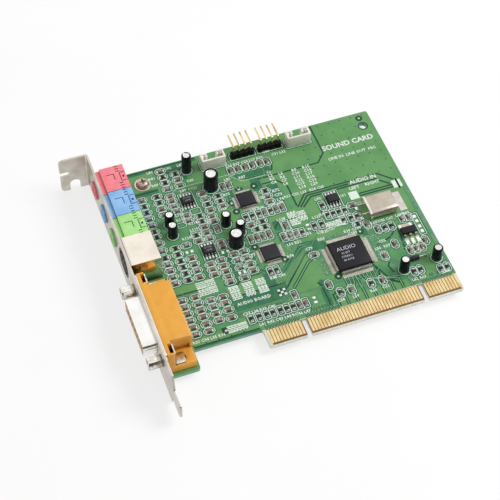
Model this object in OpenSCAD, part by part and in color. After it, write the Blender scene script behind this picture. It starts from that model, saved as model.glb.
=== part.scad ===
// Plug-in sound card: a circuit board with an edge connector, three 3.5 mm jacks, a round port,
// a 15-way port and a folded fixing bracket.
// Places on the card are measured from the first contact (x), from the lower end of the contacts (y)
// and from the component side of the board (z). The frame's origin is the middle of the contact row
// at the board's lower edge, halfway through its thickness.

/* [Board] */
// Thickness of the board
board_t = 1.57; // [1.3:0.01:1.9]
// Height of the board above the lower end of its contacts
board_top = 98.4; // [97:0.1:101]
// Right edge of the board, past the first contact
board_right = 78.6; // [78.4:0.1:84]
// Gap between the board and the bracket
board_gap = 0.8; // [0.4:0.1:1.2]
// Height of the board's main lower edge
shoulder = 8.35; // [8:0.05:9]
// Width of the leg under the 15-way port
leg_w = 12.1; // [11.8:0.1:14]
// Radius of the board's outer corners
corner_r = 1.0; // [0.5:0.1:1.4]
// Length of the bevel on the connector's edge
bevel_len = 1.45; // [1:0.05:1.5]
// Depth of the bevel on each side
bevel_deep = 0.5; // [0.3:0.05:0.6]

/* [Edge connector] */
// Distance between neighbouring contacts
contact_pitch = 1.27; // [1.25:0.01:1.29]
// Width of a contact
contact_w = 1.0; // [0.8:0.05:1.1]
// Lower end of the contacts
contact_low = 1.5; // [1.5:0.1:2]
// Length of a contact
contact_len = 6.2; // [5:0.1:6.4]
// Thickness of the plated copper
contact_t = 0.05; // [0.03:0.01:0.1]
// Width of each key slot
key_w = 1.9; // [1.7:0.05:2.1]
// Depth of each key slot
key_deep = 8.0; // [7.8:0.1:10]
// Board left of the first contact and right of the last
tab_margin = 1.6; // [1.2:0.1:1.8]

/* [Bracket] */
// Sheet thickness
sheet_t = 0.86; // [0.7:0.02:1]
// Length over the folded tab and the tongue
bracket_len = 120.02; // [118:0.01:122]
// Width of the bracket
bracket_w = 18.42; // [18:0.01:19]
// Distance from the first contact to the bracket's inner face
bracket_reach = 42.0; // [41.5:0.1:43]
// Height of the folded tab's outer face
bracket_top = 102.7; // [102:0.1:104]
// How far the bracket reaches below the component side
bracket_low = 4.37; // [4:0.01:4.8]
// Inner radius of the fold
fold_r = 0.6; // [0.4:0.1:1.2]
// Reach of the folded tab from the bracket's outer face
tab_len = 11.43; // [11:0.01:12.5]
// Radius of the tab's outer corners
tab_r = 1.8; // [1:0.1:2.4]
// Radius of the screw notch
notch_r = 2.15; // [2.1:0.05:2.4]
// Distance of the screw notch from the outer face
notch_in = 5.6; // [5.2:0.1:6]
// Depth of the screw notch to the middle of its round end
notch_deep = 3.4; // [2.8:0.1:4]
// Width of the slit in the tab's end
slit_w = 2.3; // [1.5:0.1:3]
// Length of the slit
slit_len = 3.9; // [3:0.1:5]
// Height of the slit's middle above the component side
slit_z = 5.7; // [5:0.1:8]
// Length of the tongue at the bracket's lower end
tongue_len = 9.2; // [8:0.1:10]
// Width of the tongue at its tip
tongue_w = 7.6; // [6:0.1:9]
// Width of the lug that carries the board
lug_w = 5.0; // [4.4:0.1:5.2]

/* [Bracket screw] */
// Place of the screw, left of the first contact
screw_left = 23.1; // [20:0.1:26]
// Height of the screw
screw_y = 91.1; // [90.9:0.1:91.3]
// Radius of the screw's shank
screw_r = 1.5; // [1.2:0.1:1.6]
// Radius of the screw's head
head_r = 2.6; // [2.3:0.1:3]
// Height of the screw's head
head_h = 2.1; // [1.6:0.1:2.4]

/* [Jacks] */
// Height of the lowest jack's axis line
jack_y = 65.05; // [64.9:0.05:65.2]
// Distance between neighbouring jacks
jack_pitch = 12.6; // [12.5:0.05:12.8]
// Width of a jack
jack_w = 12.4; // [11.6:0.1:12.45]
// Height of a jack
jack_h = 9.8; // [9.4:0.1:11.5]
// Depth of a jack
jack_deep = 11.6; // [11.4:0.1:13]
// Gap between the jacks and the bracket
jack_gap = 0.7; // [0.3:0.1:0.9]
// Height of a jack's bore above the board
jack_z = 5.4; // [5:0.1:5.8]
// Radius of a jack's barrel
barrel_r = 3.75; // [3.2:0.05:4.1]
// How far the barrel stands out of the bracket
barrel_out = 0.9; // [0.3:0.1:2]
// Radius of a jack's bore
bore_r = 1.8; // [1.76:0.01:1.95]
// Depth of the bore from the barrel's rim
bore_len = 13.0; // [12:0.5:13.5]
// Gap round the parts that pass through the bracket
pass_gap = 0.25; // [0.1:0.05:0.4]

/* [Round port] */
// Height of the round port's middle line
din_y = 51.3; // [51.1:0.05:51.4]
// Width of the round port
din_w = 14.0; // [13.4:0.1:14.4]
// Height of the round port
din_h = 12.8; // [12.6:0.1:13.4]
// Depth of the round port
din_deep = 12.3; // [11.5:0.1:13.5]
// Height of its axis above the board
din_z = 6.5; // [6.3:0.1:6.6]
// Wall of its shield
shield_t = 0.4; // [0.3:0.05:0.5]
// Radius of the round front
din_front_r = 5.9; // [5.4:0.1:6.1]
// Outer radius of the ring groove for the plug
groove_r = 4.85; // [4.75:0.05:5.2]
// Width of the ring groove
groove_w = 0.75; // [0.6:0.05:0.9]
// Depth of the ring groove
groove_deep = 6; // [4:0.5:8]
// Radius of a socket in the round port
socket_r = 0.45; // [0.4:0.05:0.55]

/* [15-way port] */
// Height of the port's middle line
port_y = 21.05; // [20.8:0.05:21.3]
// Height of its axis above the board
port_z = 6.3; // [6.25:0.05:6.6]
// Distance between its two jackscrews
port_screws = 33.32; // [33.1:0.01:33.5]
// Reach of its flange beyond each jackscrew
flange_margin = 2.94; // [2.7:0.02:3.2]
// Height of its flange
flange_h = 12.5; // [12:0.1:12.5]
// Thickness of the steel flange
shell_flange_t = 0.8; // [0.5:0.1:1]
// Thickness of the moulded flange
flange_t = 2.9; // [2.4:0.1:3.4]
// Length of the moulded body
port_body_len = 26.4; // [25.8:0.1:27]
// Reach of the moulded body behind its flange
port_body_deep = 8.6; // [8:0.1:8.9]
// Height of the two feet
foot_h = 4.0; // [3:0.1:4.4]
// Width of the D-shaped shell
shell_w = 25.0; // [24.6:0.05:25.4]
// Height of the D-shaped shell
shell_h = 8.36; // [8.2:0.02:8.6]
// Wall of the D-shaped shell
shell_t = 0.45; // [0.3:0.05:0.6]
// How far the shell stands out of the bracket
shell_out = 5.3; // [4.5:0.1:6.2]
// Distance between neighbouring sockets in the port
port_pitch = 2.77; // [2.74:0.01:2.8]
// Distance between the port's two rows
port_rows = 2.84; // [2.6:0.01:3]
// Width across the flats of a jackscrew
hex_w = 4.75; // [4.5:0.05:5]
// Length of a jackscrew's head
hex_len = 5.2; // [4.5:0.1:6]
// Radius of a jackscrew's threads, inside and out
thread_r = 1.42; // [1.3:0.02:1.5]

/* [Pin headers] */
// Distance between header pins
pin_pitch = 2.54; // [2.5:0.01:2.6]
// Width of a header pin
pin_w = 0.64; // [0.5:0.02:0.7]
// Distance between the white headers' pins
box_pitch = 2.0; // [1.95:0.05:2.1]
// Width of a white header's pin
box_pin_w = 0.5; // [0.45:0.01:0.55]
// Height of the white headers
box_h = 5.7; // [5:0.1:6.5]
// Depth of the white headers
box_deep = 4.4; // [4:0.1:4.6]
// Wall of the white headers
box_wall = 0.75; // [0.6:0.05:0.85]
// Height of the side headers' pins above the board
side_pin_z = 6.0; // [4.5:0.1:7]
// Reach of the side headers' pins from their row
side_pin_len = 7.2; // [6:0.1:8.5]

/* [Chips] */
// Width of the main chip
main_w = 14.0; // [13.6:0.1:14.2]
// Height of the main chip
main_h = 2.3; // [2:0.1:2.8]
// Span of the main chip's leads
main_span = 18.2; // [17.6:0.1:18.6]
// Width of the two converter chips
codec_w = 7.0; // [6.8:0.1:7.2]
// Height of the converter chips
codec_h = 1.5; // [1.3:0.1:1.7]
// Span of the converter chips' leads
codec_span = 9.2; // [9:0.1:9.6]
// Distance between leads on the fine-pitch chips
fine_pitch = 0.5; // [0.48:0.01:0.51]
// Length of the small outline chips
small_w = 4.9; // [4.8:0.1:5.1]
// Width of the small outline chips
small_d = 3.9; // [3.7:0.1:4]
// Height of the small outline chips
small_h = 1.5; // [1.3:0.1:1.75]
// Span of the small outline chips' leads
small_span = 6.2; // [5.8:0.1:6.4]

/* [Small parts] */
// Length of a chip part
chip_len = 2.0; // [1.8:0.05:2.1]
// Width of a chip part
chip_w = 1.25; // [1.1:0.05:1.35]
// Height of a chip resistor
resistor_h = 0.5; // [0.4:0.05:0.7]
// Height of a chip capacitor
ceramic_h = 0.8; // [0.6:0.05:1]
// Height of a ferrite bead
bead_h = 0.9; // [0.7:0.05:1.1]
// Length of a chip's metal end
chip_end = 0.4; // [0.3:0.05:0.5]
// Diameter of the narrow electrolytic capacitors
can_d = 4; // [3.8:0.05:4.4]
// Diameter of the wide electrolytic capacitors
wide_can_d = 6; // [5.6:0.05:6.3]
// Thickness of a capacitor's plastic sleeve
sleeve_t = 0.14; // [0.1:0.02:0.2]
// Width of the sleeve's lip over the can's top, as a share of the diameter
lip_share = 0.16; // [0.13:0.01:0.18]
// Length of the crystal's can
crystal_len = 11.4; // [11:0.1:12.6]
// Width of the crystal's can
crystal_w = 10.3; // [9.8:0.1:10.6]
// Height of the crystal's can
crystal_h = 4.2; // [3.6:0.1:4.5]
// Radius of the diode
diode_r = 0.95; // [0.85:0.05:1.2]
// Length of the diode
diode_len = 3.8; // [3.4:0.1:4.2]

/* [Solder side] */
// Length of a lead below the board
lead_out = 1.0; // [0.6:0.1:1.2]
// Height of a solder joint
joint_h = 1.3; // [1.3:0.05:1.6]

/* [Hidden] */
$fn = 32;
far = 60;
eps = 0.01;

contact_count = 62;
keyed = [12, 13, 50, 51];
keys = [12.5, 50.5];
row_len = (contact_count - 1) * contact_pitch;
tab_left = -tab_margin;
tab_right = min(row_len + 0.9, board_right);
face_in = -bracket_reach;
face_out = face_in - sheet_t;
board_left = face_in + board_gap;
leg_right = board_left + leg_w;
sheet_low = -bracket_low;
sheet_high = bracket_w - bracket_low;
tongue_tip = bracket_top - bracket_len;
tongue_root = tongue_tip + tongue_len;

// Hole and lead sizes, as [radius of the hole, width of the lead, more than 0 if the lead is square]
pin_hole = [0.5, pin_w, 1];
wire_hole = [0.45, 0.5, 0];
blade_hole = [0.75, 0.9, 0];
box_hole = [0.45, box_pin_w, 1];
port_hole = [0.5, 0.5, 2];
joint_rim = 0.45;
screw_gap = 0.15;
tooling_hole = [73.8, 90.9, 1.6];
lock_hole_r = 1.6;

jack_x = face_in + jack_gap;
jack_places = [for (i = [0:2]) jack_y + i * jack_pitch];
// Contacts of one jack, behind its front and beside its axis
blade_side = jack_w / 2 - 1.6;
blade_back = [2.2, 9.4];
jack_blades = [for (x = blade_back, s = [-1, 1]) [x, s * blade_side]];

din_x = face_in + 0.15;
din_pins = [[5.2, -3.4], [5.2, 0], [5.2, 3.4], [8.6, -3.4], [8.6, -1.3], [8.6, 1.3], [8.6, 3.4]];
din_legs = [[3.4, -1], [3.4, 1]];
socket_places = [[-2.6, -1.5], [-1.2, 1.3], [1.2, 1.3], [2.6, -1.5], [-0.9, -2.9], [0.9, -2.9]];

port_x = face_in + shell_flange_t;
port_body_x = port_x + flange_t;
port_back = port_body_x + port_body_deep;
tail_w = port_hole[1];
port_socket_r = 0.7;
port_ends = [port_y - port_screws / 2, port_y + port_screws / 2];
flange_len = port_screws + 2 * flange_margin;
strap_w = 4.6;
tail_x = [port_back - 4.2, port_back - 1.7];
function row_y(i, n) = port_y + (i - (n - 1) / 2) * port_pitch;
port_tails = [for (r = [0, 1]) for (i = [0 : 7 - r]) [tail_x[r], row_y(i, 8 - r), r]];
lock_x = port_body_x + 3.6;
foot_top = foot_h;

audio_x = [4.3, 41.71];
audio_y = 91.9;
audio_pin_y = audio_y - 0.55;
box_end = 2.05;
side_x = [16.7, 28.6];
side_y = 92.7;
side_block = 2.5;
header_count = 4;

main_at = [42.6, 29.75];
codec_at = [[13.9, 69.5], [13.75, 40.95]];
amplifier_at = [[-8.6, 76.85], [-8.6, 50.35]];
memory_at = [47.1, 58.25];
regulator_at = [69.3, 33.1];
regulator_size = [6.5, 3.5, 1.6];
crystal_at = [57.0, 47.9];
crystal_base_t = 0.9;
crystal_lead_reach = 2.3;
crystal_z = 2.33;
crystal_lead_gap = 4.88;
diode_at = [67.05, 19.6];
diode_shift = -1.15;
diode_span = 7.62;

// Electrolytic capacitors as [x, y, 1 if wide, height]
can_places = [[-3.9, 92.2, 0, 9.6], [2.6, 80.5, 1, 8.7], [-19.2, 67.5, 0, 6.8], [-19.6, 62.1, 0, 6.9],
    [2.1, 60.6, 0, 6.5], [6.2, 54.9, 0, 6.5], [2.6, 49.9, 1, 7.1], [60, 16.2, 0, 7], [74.4, 17.4, 0, 6.8]];
can_lead_gap = 2.0;
bung_h = 0.9;
bung_lift = 0.3;
function can_dia(c) = c[2] == 1 ? wide_can_d : can_d;
function lip_at(c) = can_dia(c) * (0.5 - lip_share);

// Chip parts in columns, as [x, heights], and in rows, as [y, places]
flat_resistors = [[-26, [79.8, 76.5, 66.2, 63.5, 52.6]], [-20.7, [55.7, 52.6, 49.3, 46.1, 42.8, 39.6]],
    [-19.7, [83, 79.8]], [-14.3, [92.1, 88.9]], [-8.9, [92.1]], [-10.9, [59.1]], [-6.5, [68, 65.1]],
    [-1.5, [72.7]], [3.8, [75.2, 72.6]], [16.2, [57.2, 54.3]], [12.9, [54.1]], [22.7, [71.4]],
    [51.6, [43.2]]];
flat_ceramics = [[-26.1, [24.5, 17.9]], [-20.8, [31.1, 24.6, 21.4, 17.9, 14.6]], [-19.7, [76.5, 73.3]],
    [-16.2, [49.3, 46.1, 39.6]], [-14.6, [81.4, 78.9]], [-15.8, [21.4]],
    [-10.8, [27.7, 24.6, 21.3, 17.5, 56.4]], [-10.2, [43.9, 41.3, 38.7]], [-11.4, [69.9]],
    [-8.9, [88.9, 85.6]], [-6.5, [62.3, 59.3]], [-5.6, [41.5, 38.8, 35.9, 33.4]],
    [-1.9, [78.7]], [-1.4, [69.6]], [-1.9, [66.2, 63.7]], [-2.9, [52.8, 50.4]], [0, [45.4]], [0.2, [33.4]],
    [3.9, [69.8]], [4.5, [38.9, 35.5]], [22.7, [65.6]], [29.5, [34.8]], [11.4, [56.8]], [53.2, [52.9]]];
flat_beads = [[-26, [83.1, 73.1, 69.7, 60, 56.3, 49.3, 46.1, 42.9, 39.6]], [-26.1, [31.1, 27.8, 21.3, 14.6]],
    [-20.8, [27.9]], [-16.2, [55.8, 42.8]], [-15.7, [27.8, 24.6, 18.1]], [-14.6, [76.2]],
    [-14.3, [95.3, 85.6]], [-14.2, [73.4]], [-11.4, [67.3]], [-5.6, [44.4]], [-6.3, [56]],
    [-1.5, [75.4]], [0.3, [42.2, 38.6]], [4.2, [45.5, 42.3]], [22.7, [68.6]]];
upright_resistors = [[14.5, [-4, -0.8, 2.3, 4.8, 7.9, 10.5, 13.1]], [14.6, [32.7, 45.4]],
    [61, [10.8, 13.5, 16.3, 21.2]], [51.4, [42.1, 44.5, 47, 49.4]], [32.8, [10.7, 13.2]],
    [46.9, [47, 50.4, 53]], [37.9, [61.2, 64.1]], [56.6, [41.8]], [48, [35, 38.2]], [14.3, [63.5, 66.1]],
    [12, [73.9, 76.5]], [46.6, [29.3]]];
upright_ceramics = [[86, [13.2, 16.3, 19.5, 22.7, 25.9, 29]], [14.5, [15.7, 18.2]], [14.5, [37.2, 50.2]],
    [61.2, [18.8, 23.7, 26.3]], [50, [9, 11.5, 14, 16.6]], [46.8, [21.7, 26.9]], [79, [7.3, 9.8]],
    [19.4, [15.5, 29.7]], [29.2, [61.8]], [25, [55.7]], [24.3, [66.4, 68.9, 71.4]], [26.8, [73.9]],
    [41.7, [55.2]], [51.8, [24.3]], [59.6, [-1.9]]];
upright_beads = [[46.6, [24.3]], [38.1, [58.3]], [39.9, [69.7, 72.4]]];
function in_columns(list) = [for (c = list) for (y = c[1]) [c[0], y, 0]];
function in_rows(list) = [for (r = list) for (x = r[1]) [x, r[0], 90]];
resistor_places = concat(in_columns(flat_resistors), in_rows(upright_resistors));
ceramic_places = concat(in_columns(flat_ceramics), in_rows(upright_ceramics));
bead_places = concat(in_columns(flat_beads), in_rows(upright_beads));

// Every lead that passes through the board, as [x, y, hole]
function header_pins(x, y) = [for (i = [0 : header_count - 1]) [x + i * pin_pitch, y, pin_hole]];
function box_pins(x) = [for (i = [0 : header_count - 1]) [x + i * box_pitch, audio_pin_y, box_hole]];
lead_places = concat(
    [for (y = jack_places, b = jack_blades) [jack_x + b[0], y + b[1], blade_hole]],
    [for (p = din_pins) [din_x + p[0], din_y + p[1], wire_hole]],
    [for (p = din_legs) [din_x + p[0], din_y + p[1] * (din_w / 2 - 0.9), blade_hole]],
    [for (p = port_tails) [p[0], p[1], port_hole]],
    [for (x = audio_x) each box_pins(x)],
    [for (x = side_x) each header_pins(x, side_y)],
    [for (c = can_places, s = [-1, 1]) [c[0] + s * can_lead_gap / 2, c[1], wire_hole]],
    [for (s = [-1, 1])
        [crystal_at[0] - crystal_lead_reach, crystal_at[1] + s * crystal_lead_gap / 2, wire_hole]],
    [for (s = [-1, 1]) [diode_at[0] + s * diode_span / 2, diode_at[1], wire_hole]]);

function unit(v) = v / norm(v);
// Points of an arc that rounds the corner b between a and c
function corner_arc(a, b, c, r, n) =
    let (u = unit(a - b), v = unit(c - b), half = acos(u * v) / 2)
    let (m = b + unit(u + v) * r / sin(half))
    let (p = b + u * r / tan(half) - m, q = b + v * r / tan(half) - m)
    let (from = atan2(p[1], p[0]), turn = atan2(q[1], q[0]) - from)
    let (sweep = turn > 180 ? turn - 360 : turn < -180 ? turn + 360 : turn)
    [for (i = [0:n]) m + r * [cos(from + sweep * i / n), sin(from + sweep * i / n)]];
// Outline with each corner rounded by its own radius
function rounded(points, radii, n = 5) =
    let (last = len(points) - 1)
    [for (i = [0:last]) each radii[i] == 0 ? [points[i]] :
        corner_arc(points[i == 0 ? last : i - 1], points[i], points[i == last ? 0 : i + 1], radii[i], n)];
function box_points(x0, y0, x1, y1) = [[x0, y0], [x1, y0], [x1, y1], [x0, y1]];

// From card places to the frame
module card() {
    translate([-row_len / 2, 0, board_t / 2]) children();
}
// A box from its lowest to its highest corner
module block(low, high) {
    translate(low) cube(high - low);
}
// An outline in y and z, drawn out along x
module along_x(x0, x1) {
    translate([x0, 0, 0]) rotate([90, 0, 90]) linear_extrude(x1 - x0) children();
}
// An outline in x and z, drawn out along y
module along_y(y0, y1) {
    translate([0, y1, 0]) rotate([90, 0, 0]) linear_extrude(y1 - y0) children();
}
module rod_x(x0, x1, y, z, r) {
    translate([x0, y, z]) rotate([0, 90, 0]) cylinder(h = x1 - x0, r = r);
}

module board_outline() {
    difference() {
        union() {
            polygon(rounded([[board_left, 0], [leg_right, 0], [leg_right, shoulder], [tab_left, shoulder],
                [tab_left, 0], [tab_right, 0], [tab_right, shoulder], [board_right, shoulder],
                [board_right, board_top], [board_left, board_top]],
                [0, corner_r, 0, corner_r, corner_r, corner_r, 0, 0, corner_r, corner_r]));
        }
        for (k = keys) translate([(k - 1) * contact_pitch - key_w / 2, -1])
            square([key_w, key_deep + 1]);
    }
}
module bevel_cut() {
    along_x(tab_left - 1, tab_right + 1) polygon([[-1, -bevel_deep - bevel_deep / bevel_len],
        [bevel_len, 0], [bevel_len, 1], [-1, 1]]);
}
module circuit_board() {
    color("#3f8f55") card() difference() {
        translate([0, 0, -board_t]) linear_extrude(board_t) board_outline();
        bevel_cut();
        translate([0, 0, -board_t]) mirror([0, 0, 1]) bevel_cut();
        for (p = lead_places) translate([p[0], p[1], -board_t - 1]) cylinder(h = board_t + 2, r = p[2][0]);
        for (y = port_ends) translate([lock_x, y, -board_t - 1]) cylinder(h = board_t + 2, r = lock_hole_r);
        translate([-screw_left, screw_y, -board_t - 1]) cylinder(h = board_t + 2, r = screw_r + screw_gap);
        translate([tooling_hole[0], tooling_hole[1], -board_t - 1])
            cylinder(h = board_t + 2, r = tooling_hole[2]);
    }
}
module edge_contacts() {
    color("#e8c877") card() for (i = [1:contact_count]) if (len(search(i, keyed)) == 0)
        for (z = [0, -board_t - contact_t])
            translate([(i - 1) * contact_pitch - contact_w / 2, contact_low, z])
                cube([contact_w, contact_len, contact_t]);
}

// Sheet of the bracket seen along z: face, fold and tab
module bracket_fold() {
    middle = [face_out - fold_r, bracket_top - sheet_t - fold_r];
    translate([face_out, tongue_tip]) square([sheet_t, middle[1] - tongue_tip]);
    translate([face_out - tab_len, bracket_top - sheet_t]) square([tab_len - fold_r, sheet_t]);
    intersection() {
        translate(middle) difference() {
            circle(r = fold_r + sheet_t);
            circle(r = fold_r);
        }
        translate(middle) square(fold_r + sheet_t);
    }
}
// Outline of the face in y and z, with its tongue
module face_outline() {
    tongue_mid = 3.2;
    polygon(rounded([[tongue_tip, tongue_mid - tongue_w / 2], [tongue_root, tongue_mid - tongue_w / 2 - 1],
        [tongue_root + 0.6, sheet_low], [bracket_top, sheet_low], [bracket_top, sheet_high],
        [tongue_root, sheet_high], [tongue_root - 2, tongue_mid + tongue_w / 2],
        [tongue_tip, tongue_mid + tongue_w / 2]], [1.6, 0, 1, 0, 0, 0, 0, 0.8]));
}
// Outline of the tab in x and z, with its screw notch and slit
module tab_outline() {
    tip = face_out - tab_len;
    notch_x = face_out - notch_in;
    difference() {
        polygon(rounded([[face_in, sheet_low], [face_in, sheet_high], [tip, sheet_high], [tip, sheet_low]],
            [0, 0, tab_r, tab_r]));
        translate([notch_x, sheet_low + notch_deep]) circle(r = notch_r);
        translate([notch_x - notch_r, sheet_low - 1]) square([2 * notch_r, notch_deep + 1]);
        translate([tip + slit_len - slit_w / 2, slit_z]) circle(r = slit_w / 2);
        translate([tip - 1, slit_z - slit_w / 2]) square([slit_len - slit_w / 2 + 1, slit_w]);
    }
}
// Lug folded from the long edge and stepped up to the solder side
module bracket_lug() {
    step = [face_in + 2.2, face_in + 4.6];
    under = -board_t;
    intersection() {
        along_y(screw_y - lug_w / 2, screw_y + lug_w / 2)
            polygon([[face_in - eps, sheet_low], [step[0], sheet_low], [step[1], under - sheet_t],
                [-screw_left + lug_w / 2, under - sheet_t], [-screw_left + lug_w / 2, under],
                [step[1] - sheet_t / 2, under], [step[0] - sheet_t / 2, sheet_low + sheet_t],
                [face_in - eps, sheet_low + sheet_t]]);
        translate([0, screw_y, sheet_low - 1]) linear_extrude(bracket_low + 1) union() {
            translate([face_in - 1, -lug_w / 2]) square([-screw_left - face_in + 1, lug_w]);
            translate([-screw_left, 0]) circle(r = lug_w / 2);
        }
    }
}
// D shape of a port, wide at the top, in y and z round the port's axis
module d_shape(w, h, r, lean = 10) {
    top = w / 2;
    low = top - h * tan(lean);
    polygon(rounded([[-low, -h / 2], [low, -h / 2], [top, h / 2], [-top, h / 2]], [r, r, r, r], 6));
}
module bracket() {
    color("#b9b3a8") card() difference() {
        union() {
            intersection() {
                translate([0, 0, sheet_low - 1]) linear_extrude(bracket_w + 2) bracket_fold();
                union() {
                    along_x(face_out - fold_r - eps, face_in + 1) face_outline();
                    along_y(bracket_top - sheet_t - 2 * eps, bracket_top + 1) tab_outline();
                    intersection() {
                        along_y(bracket_top - sheet_t - fold_r, bracket_top + 1) tab_outline();
                        block([face_out - fold_r, 0, sheet_low - 1],
                            [face_in + 1, bracket_top + 1, sheet_high + 1]);
                    }
                }
            }
            bracket_lug();
        }
        for (y = jack_places) rod_x(face_out - 1, face_in + 1, y, jack_z, barrel_r + pass_gap);
        rod_x(face_out - 1, face_in + 1, din_y, din_z, din_front_r + pass_gap);
        for (y = port_ends) rod_x(face_out - 1, face_in + 1, y, port_z, thread_r + pass_gap);
        translate([0, port_y, port_z]) along_x(face_out - 1, face_in + 1)
            d_shape(shell_w + 2 * pass_gap, shell_h + 2 * pass_gap, 2.6);
        translate([-screw_left, screw_y, sheet_low - 1]) cylinder(h = bracket_low + 1, r = screw_r);
    }
}
module bracket_screw() {
    cross = [2.6, 0.55, 1.0];
    color("#cfc9bf") card() translate([-screw_left, screw_y, 0]) difference() {
        rotate_extrude() polygon([[0, -board_t - sheet_t], [screw_r, -board_t - sheet_t], [screw_r, 0],
            [head_r, 0], [head_r, head_h * 0.35], [head_r * 0.86, head_h * 0.75], [head_r * 0.6, head_h],
            [0, head_h]]);
        for (a = [0, 90]) rotate(a) translate([-cross[0] / 2, -cross[1] / 2, head_h - cross[2]])
            cube([cross[0], cross[1], cross[2] + 1]);
    }
}

// Jack housing: stepped front, barrel, blind bore, marks moulded into the lid and contact slots
module jack_housing(y) {
    front_step = 1.9;
    step_down = 1.0;
    rim = face_out - barrel_out;
    back = jack_x + jack_deep;
    mark = 0.3;
    groove = 0.35;
    difference() {
        union() {
            block([jack_x + front_step, y - jack_w / 2, 0], [back, y + jack_w / 2, jack_h]);
            block([jack_x, y - jack_w / 2, 0], [jack_x + front_step, y + jack_w / 2, jack_h - step_down]);
            rod_x(rim, jack_x, y, jack_z, barrel_r);
        }
        rod_x(rim - 1, rim + bore_len, y, jack_z, bore_r);
        translate([rim, y, jack_z]) rotate([0, 90, 0])
            translate([0, 0, -eps]) cylinder(h = 0.5, r1 = bore_r + 0.5, r2 = bore_r);
        for (b = jack_blades) translate([jack_x + b[0], y + b[1], 0]) blade_slot();
        for (s = [-1, 1]) for (i = [0:2])
            block([back - 3.7, y + s * 4.4 + (i - 1) * 1.3 - groove / 2, jack_h - 3 * mark],
                [back - 2.2, y + s * 4.4 + (i - 1) * 1.3 + groove / 2, jack_h + 1]);
        block([jack_x + 3.6, y + 2.0, jack_h - mark], [jack_x + 6.9, y + 2.0 + groove, jack_h + 1]);
        block([jack_x + 6.9 - groove, y - 0.8, jack_h - mark], [jack_x + 6.9, y + 2.0, jack_h + 1]);
        for (s = [-1, 1]) block([back - 2.6, y + s * 2.2 - groove / 2, jack_h - mark],
            [back + 1, y + s * 2.2 + groove / 2, jack_h + 1]);
        block([back - 2.6, y - 2.2, jack_h - mark], [back - 2.6 + groove, y + 2.2, jack_h + 1]);
        block([back - 1.6, y - 0.5, jack_h - 2 * mark], [back - 0.9, y + 0.5, jack_h + 1]);
    }
}
blade = [0.9, 0.4, 6.2];
module blade_slot() {
    translate([-blade[0] / 2, -blade[1] / 2, -1]) cube([blade[0], blade[1], blade[2] + 1]);
}
module line_out_jack() {
    color("#b4ea9a") card() jack_housing(jack_places[0]);
}
module line_in_jack() {
    color("#8fbff0") card() jack_housing(jack_places[1]);
}
module microphone_jack() {
    color("#f98a96") card() jack_housing(jack_places[2]);
}
module jack_contacts() {
    color("#c9c2b4") card() for (y = jack_places, b = jack_blades)
        translate([jack_x + b[0], y + b[1], 0]) {
            translate([-blade[0] / 2, -blade[1] / 2, 0]) cube(blade);
            translate([0, 0, -board_t - lead_out]) intersection() {
                cylinder(h = board_t + lead_out, r = blade_hole[1] / 2);
                translate([-1, -1, 0]) cube([2, 2, board_t + lead_out]);
            }
        }
}

// Round port: folded shield with an open floor, core with its sockets, and contacts
module round_port_shield() {
    w = din_w / 2;
    leg = [1.2, 0.4];
    color("#e9e2d4") card() translate([din_x, din_y, 0]) difference() {
        union() {
            difference() {
                along_y(-w, w) polygon(rounded([[0, 0], [din_deep, 0], [din_deep, din_h], [0, din_h]],
                    [0, 0, 0.6, 0.3], 3));
                block([shield_t, shield_t - w, -1], [din_deep - shield_t, w - shield_t, din_h - shield_t]);
            }
            for (p = din_legs) translate([p[0], p[1] * (w - 0.9), 0]) shield_leg();
        }
        rod_x(-1, 1, 0, din_z, din_front_r);
    }
}
module shield_leg() {
    translate([0, 0, -board_t - lead_out]) cylinder(h = board_t + lead_out, r = blade_hole[1] / 2);
    intersection() {
        cylinder(h = 1.2, r = blade_hole[1] / 2);
        translate([-1, -1, 0]) cube([2, 2, 1.2]);
    }
}
module round_port_core() {
    w = din_w / 2 - shield_t;
    front = -sheet_t - 0.15;
    leg_room = 1.9;
    color("#25252a") card() translate([din_x, din_y, 0]) difference() {
        union() {
            block([shield_t, -w, 1.2], [din_deep - shield_t, w, din_h - shield_t]);
            block([shield_t, leg_room - w, 0], [din_deep - shield_t, w - leg_room, 1.2]);
            rod_x(front, shield_t, 0, din_z, din_front_r);
        }
        difference() {
            rod_x(front - 1, front + groove_deep, 0, din_z, groove_r);
            rod_x(front - 2, front + groove_deep + 1, 0, din_z, groove_r - groove_w);
        }
        for (p = socket_places) rod_x(front - 1, front + groove_deep, p[0], din_z + p[1], socket_r);
        block([front - 1, -0.6, din_z + 2.6], [front + groove_deep, 0.6, din_z + 3.6]);
        for (p = din_pins) translate([p[0], p[1], -1]) cylinder(h = 4, r = wire_hole[1] / 2);
    }
}
module round_port_contacts() {
    color("#d9c9a0") card() for (p = din_pins)
        translate([din_x + p[0], din_y + p[1], -board_t - lead_out])
            cylinder(h = board_t + lead_out + 3, r = wire_hole[1] / 2);
}

// 15-way port: moulded housing with two feet, steel shell, front block and bent contacts
port_top = port_z + flange_h / 2;
tail_z = [port_z + port_rows / 2, port_z - port_rows / 2];
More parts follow.
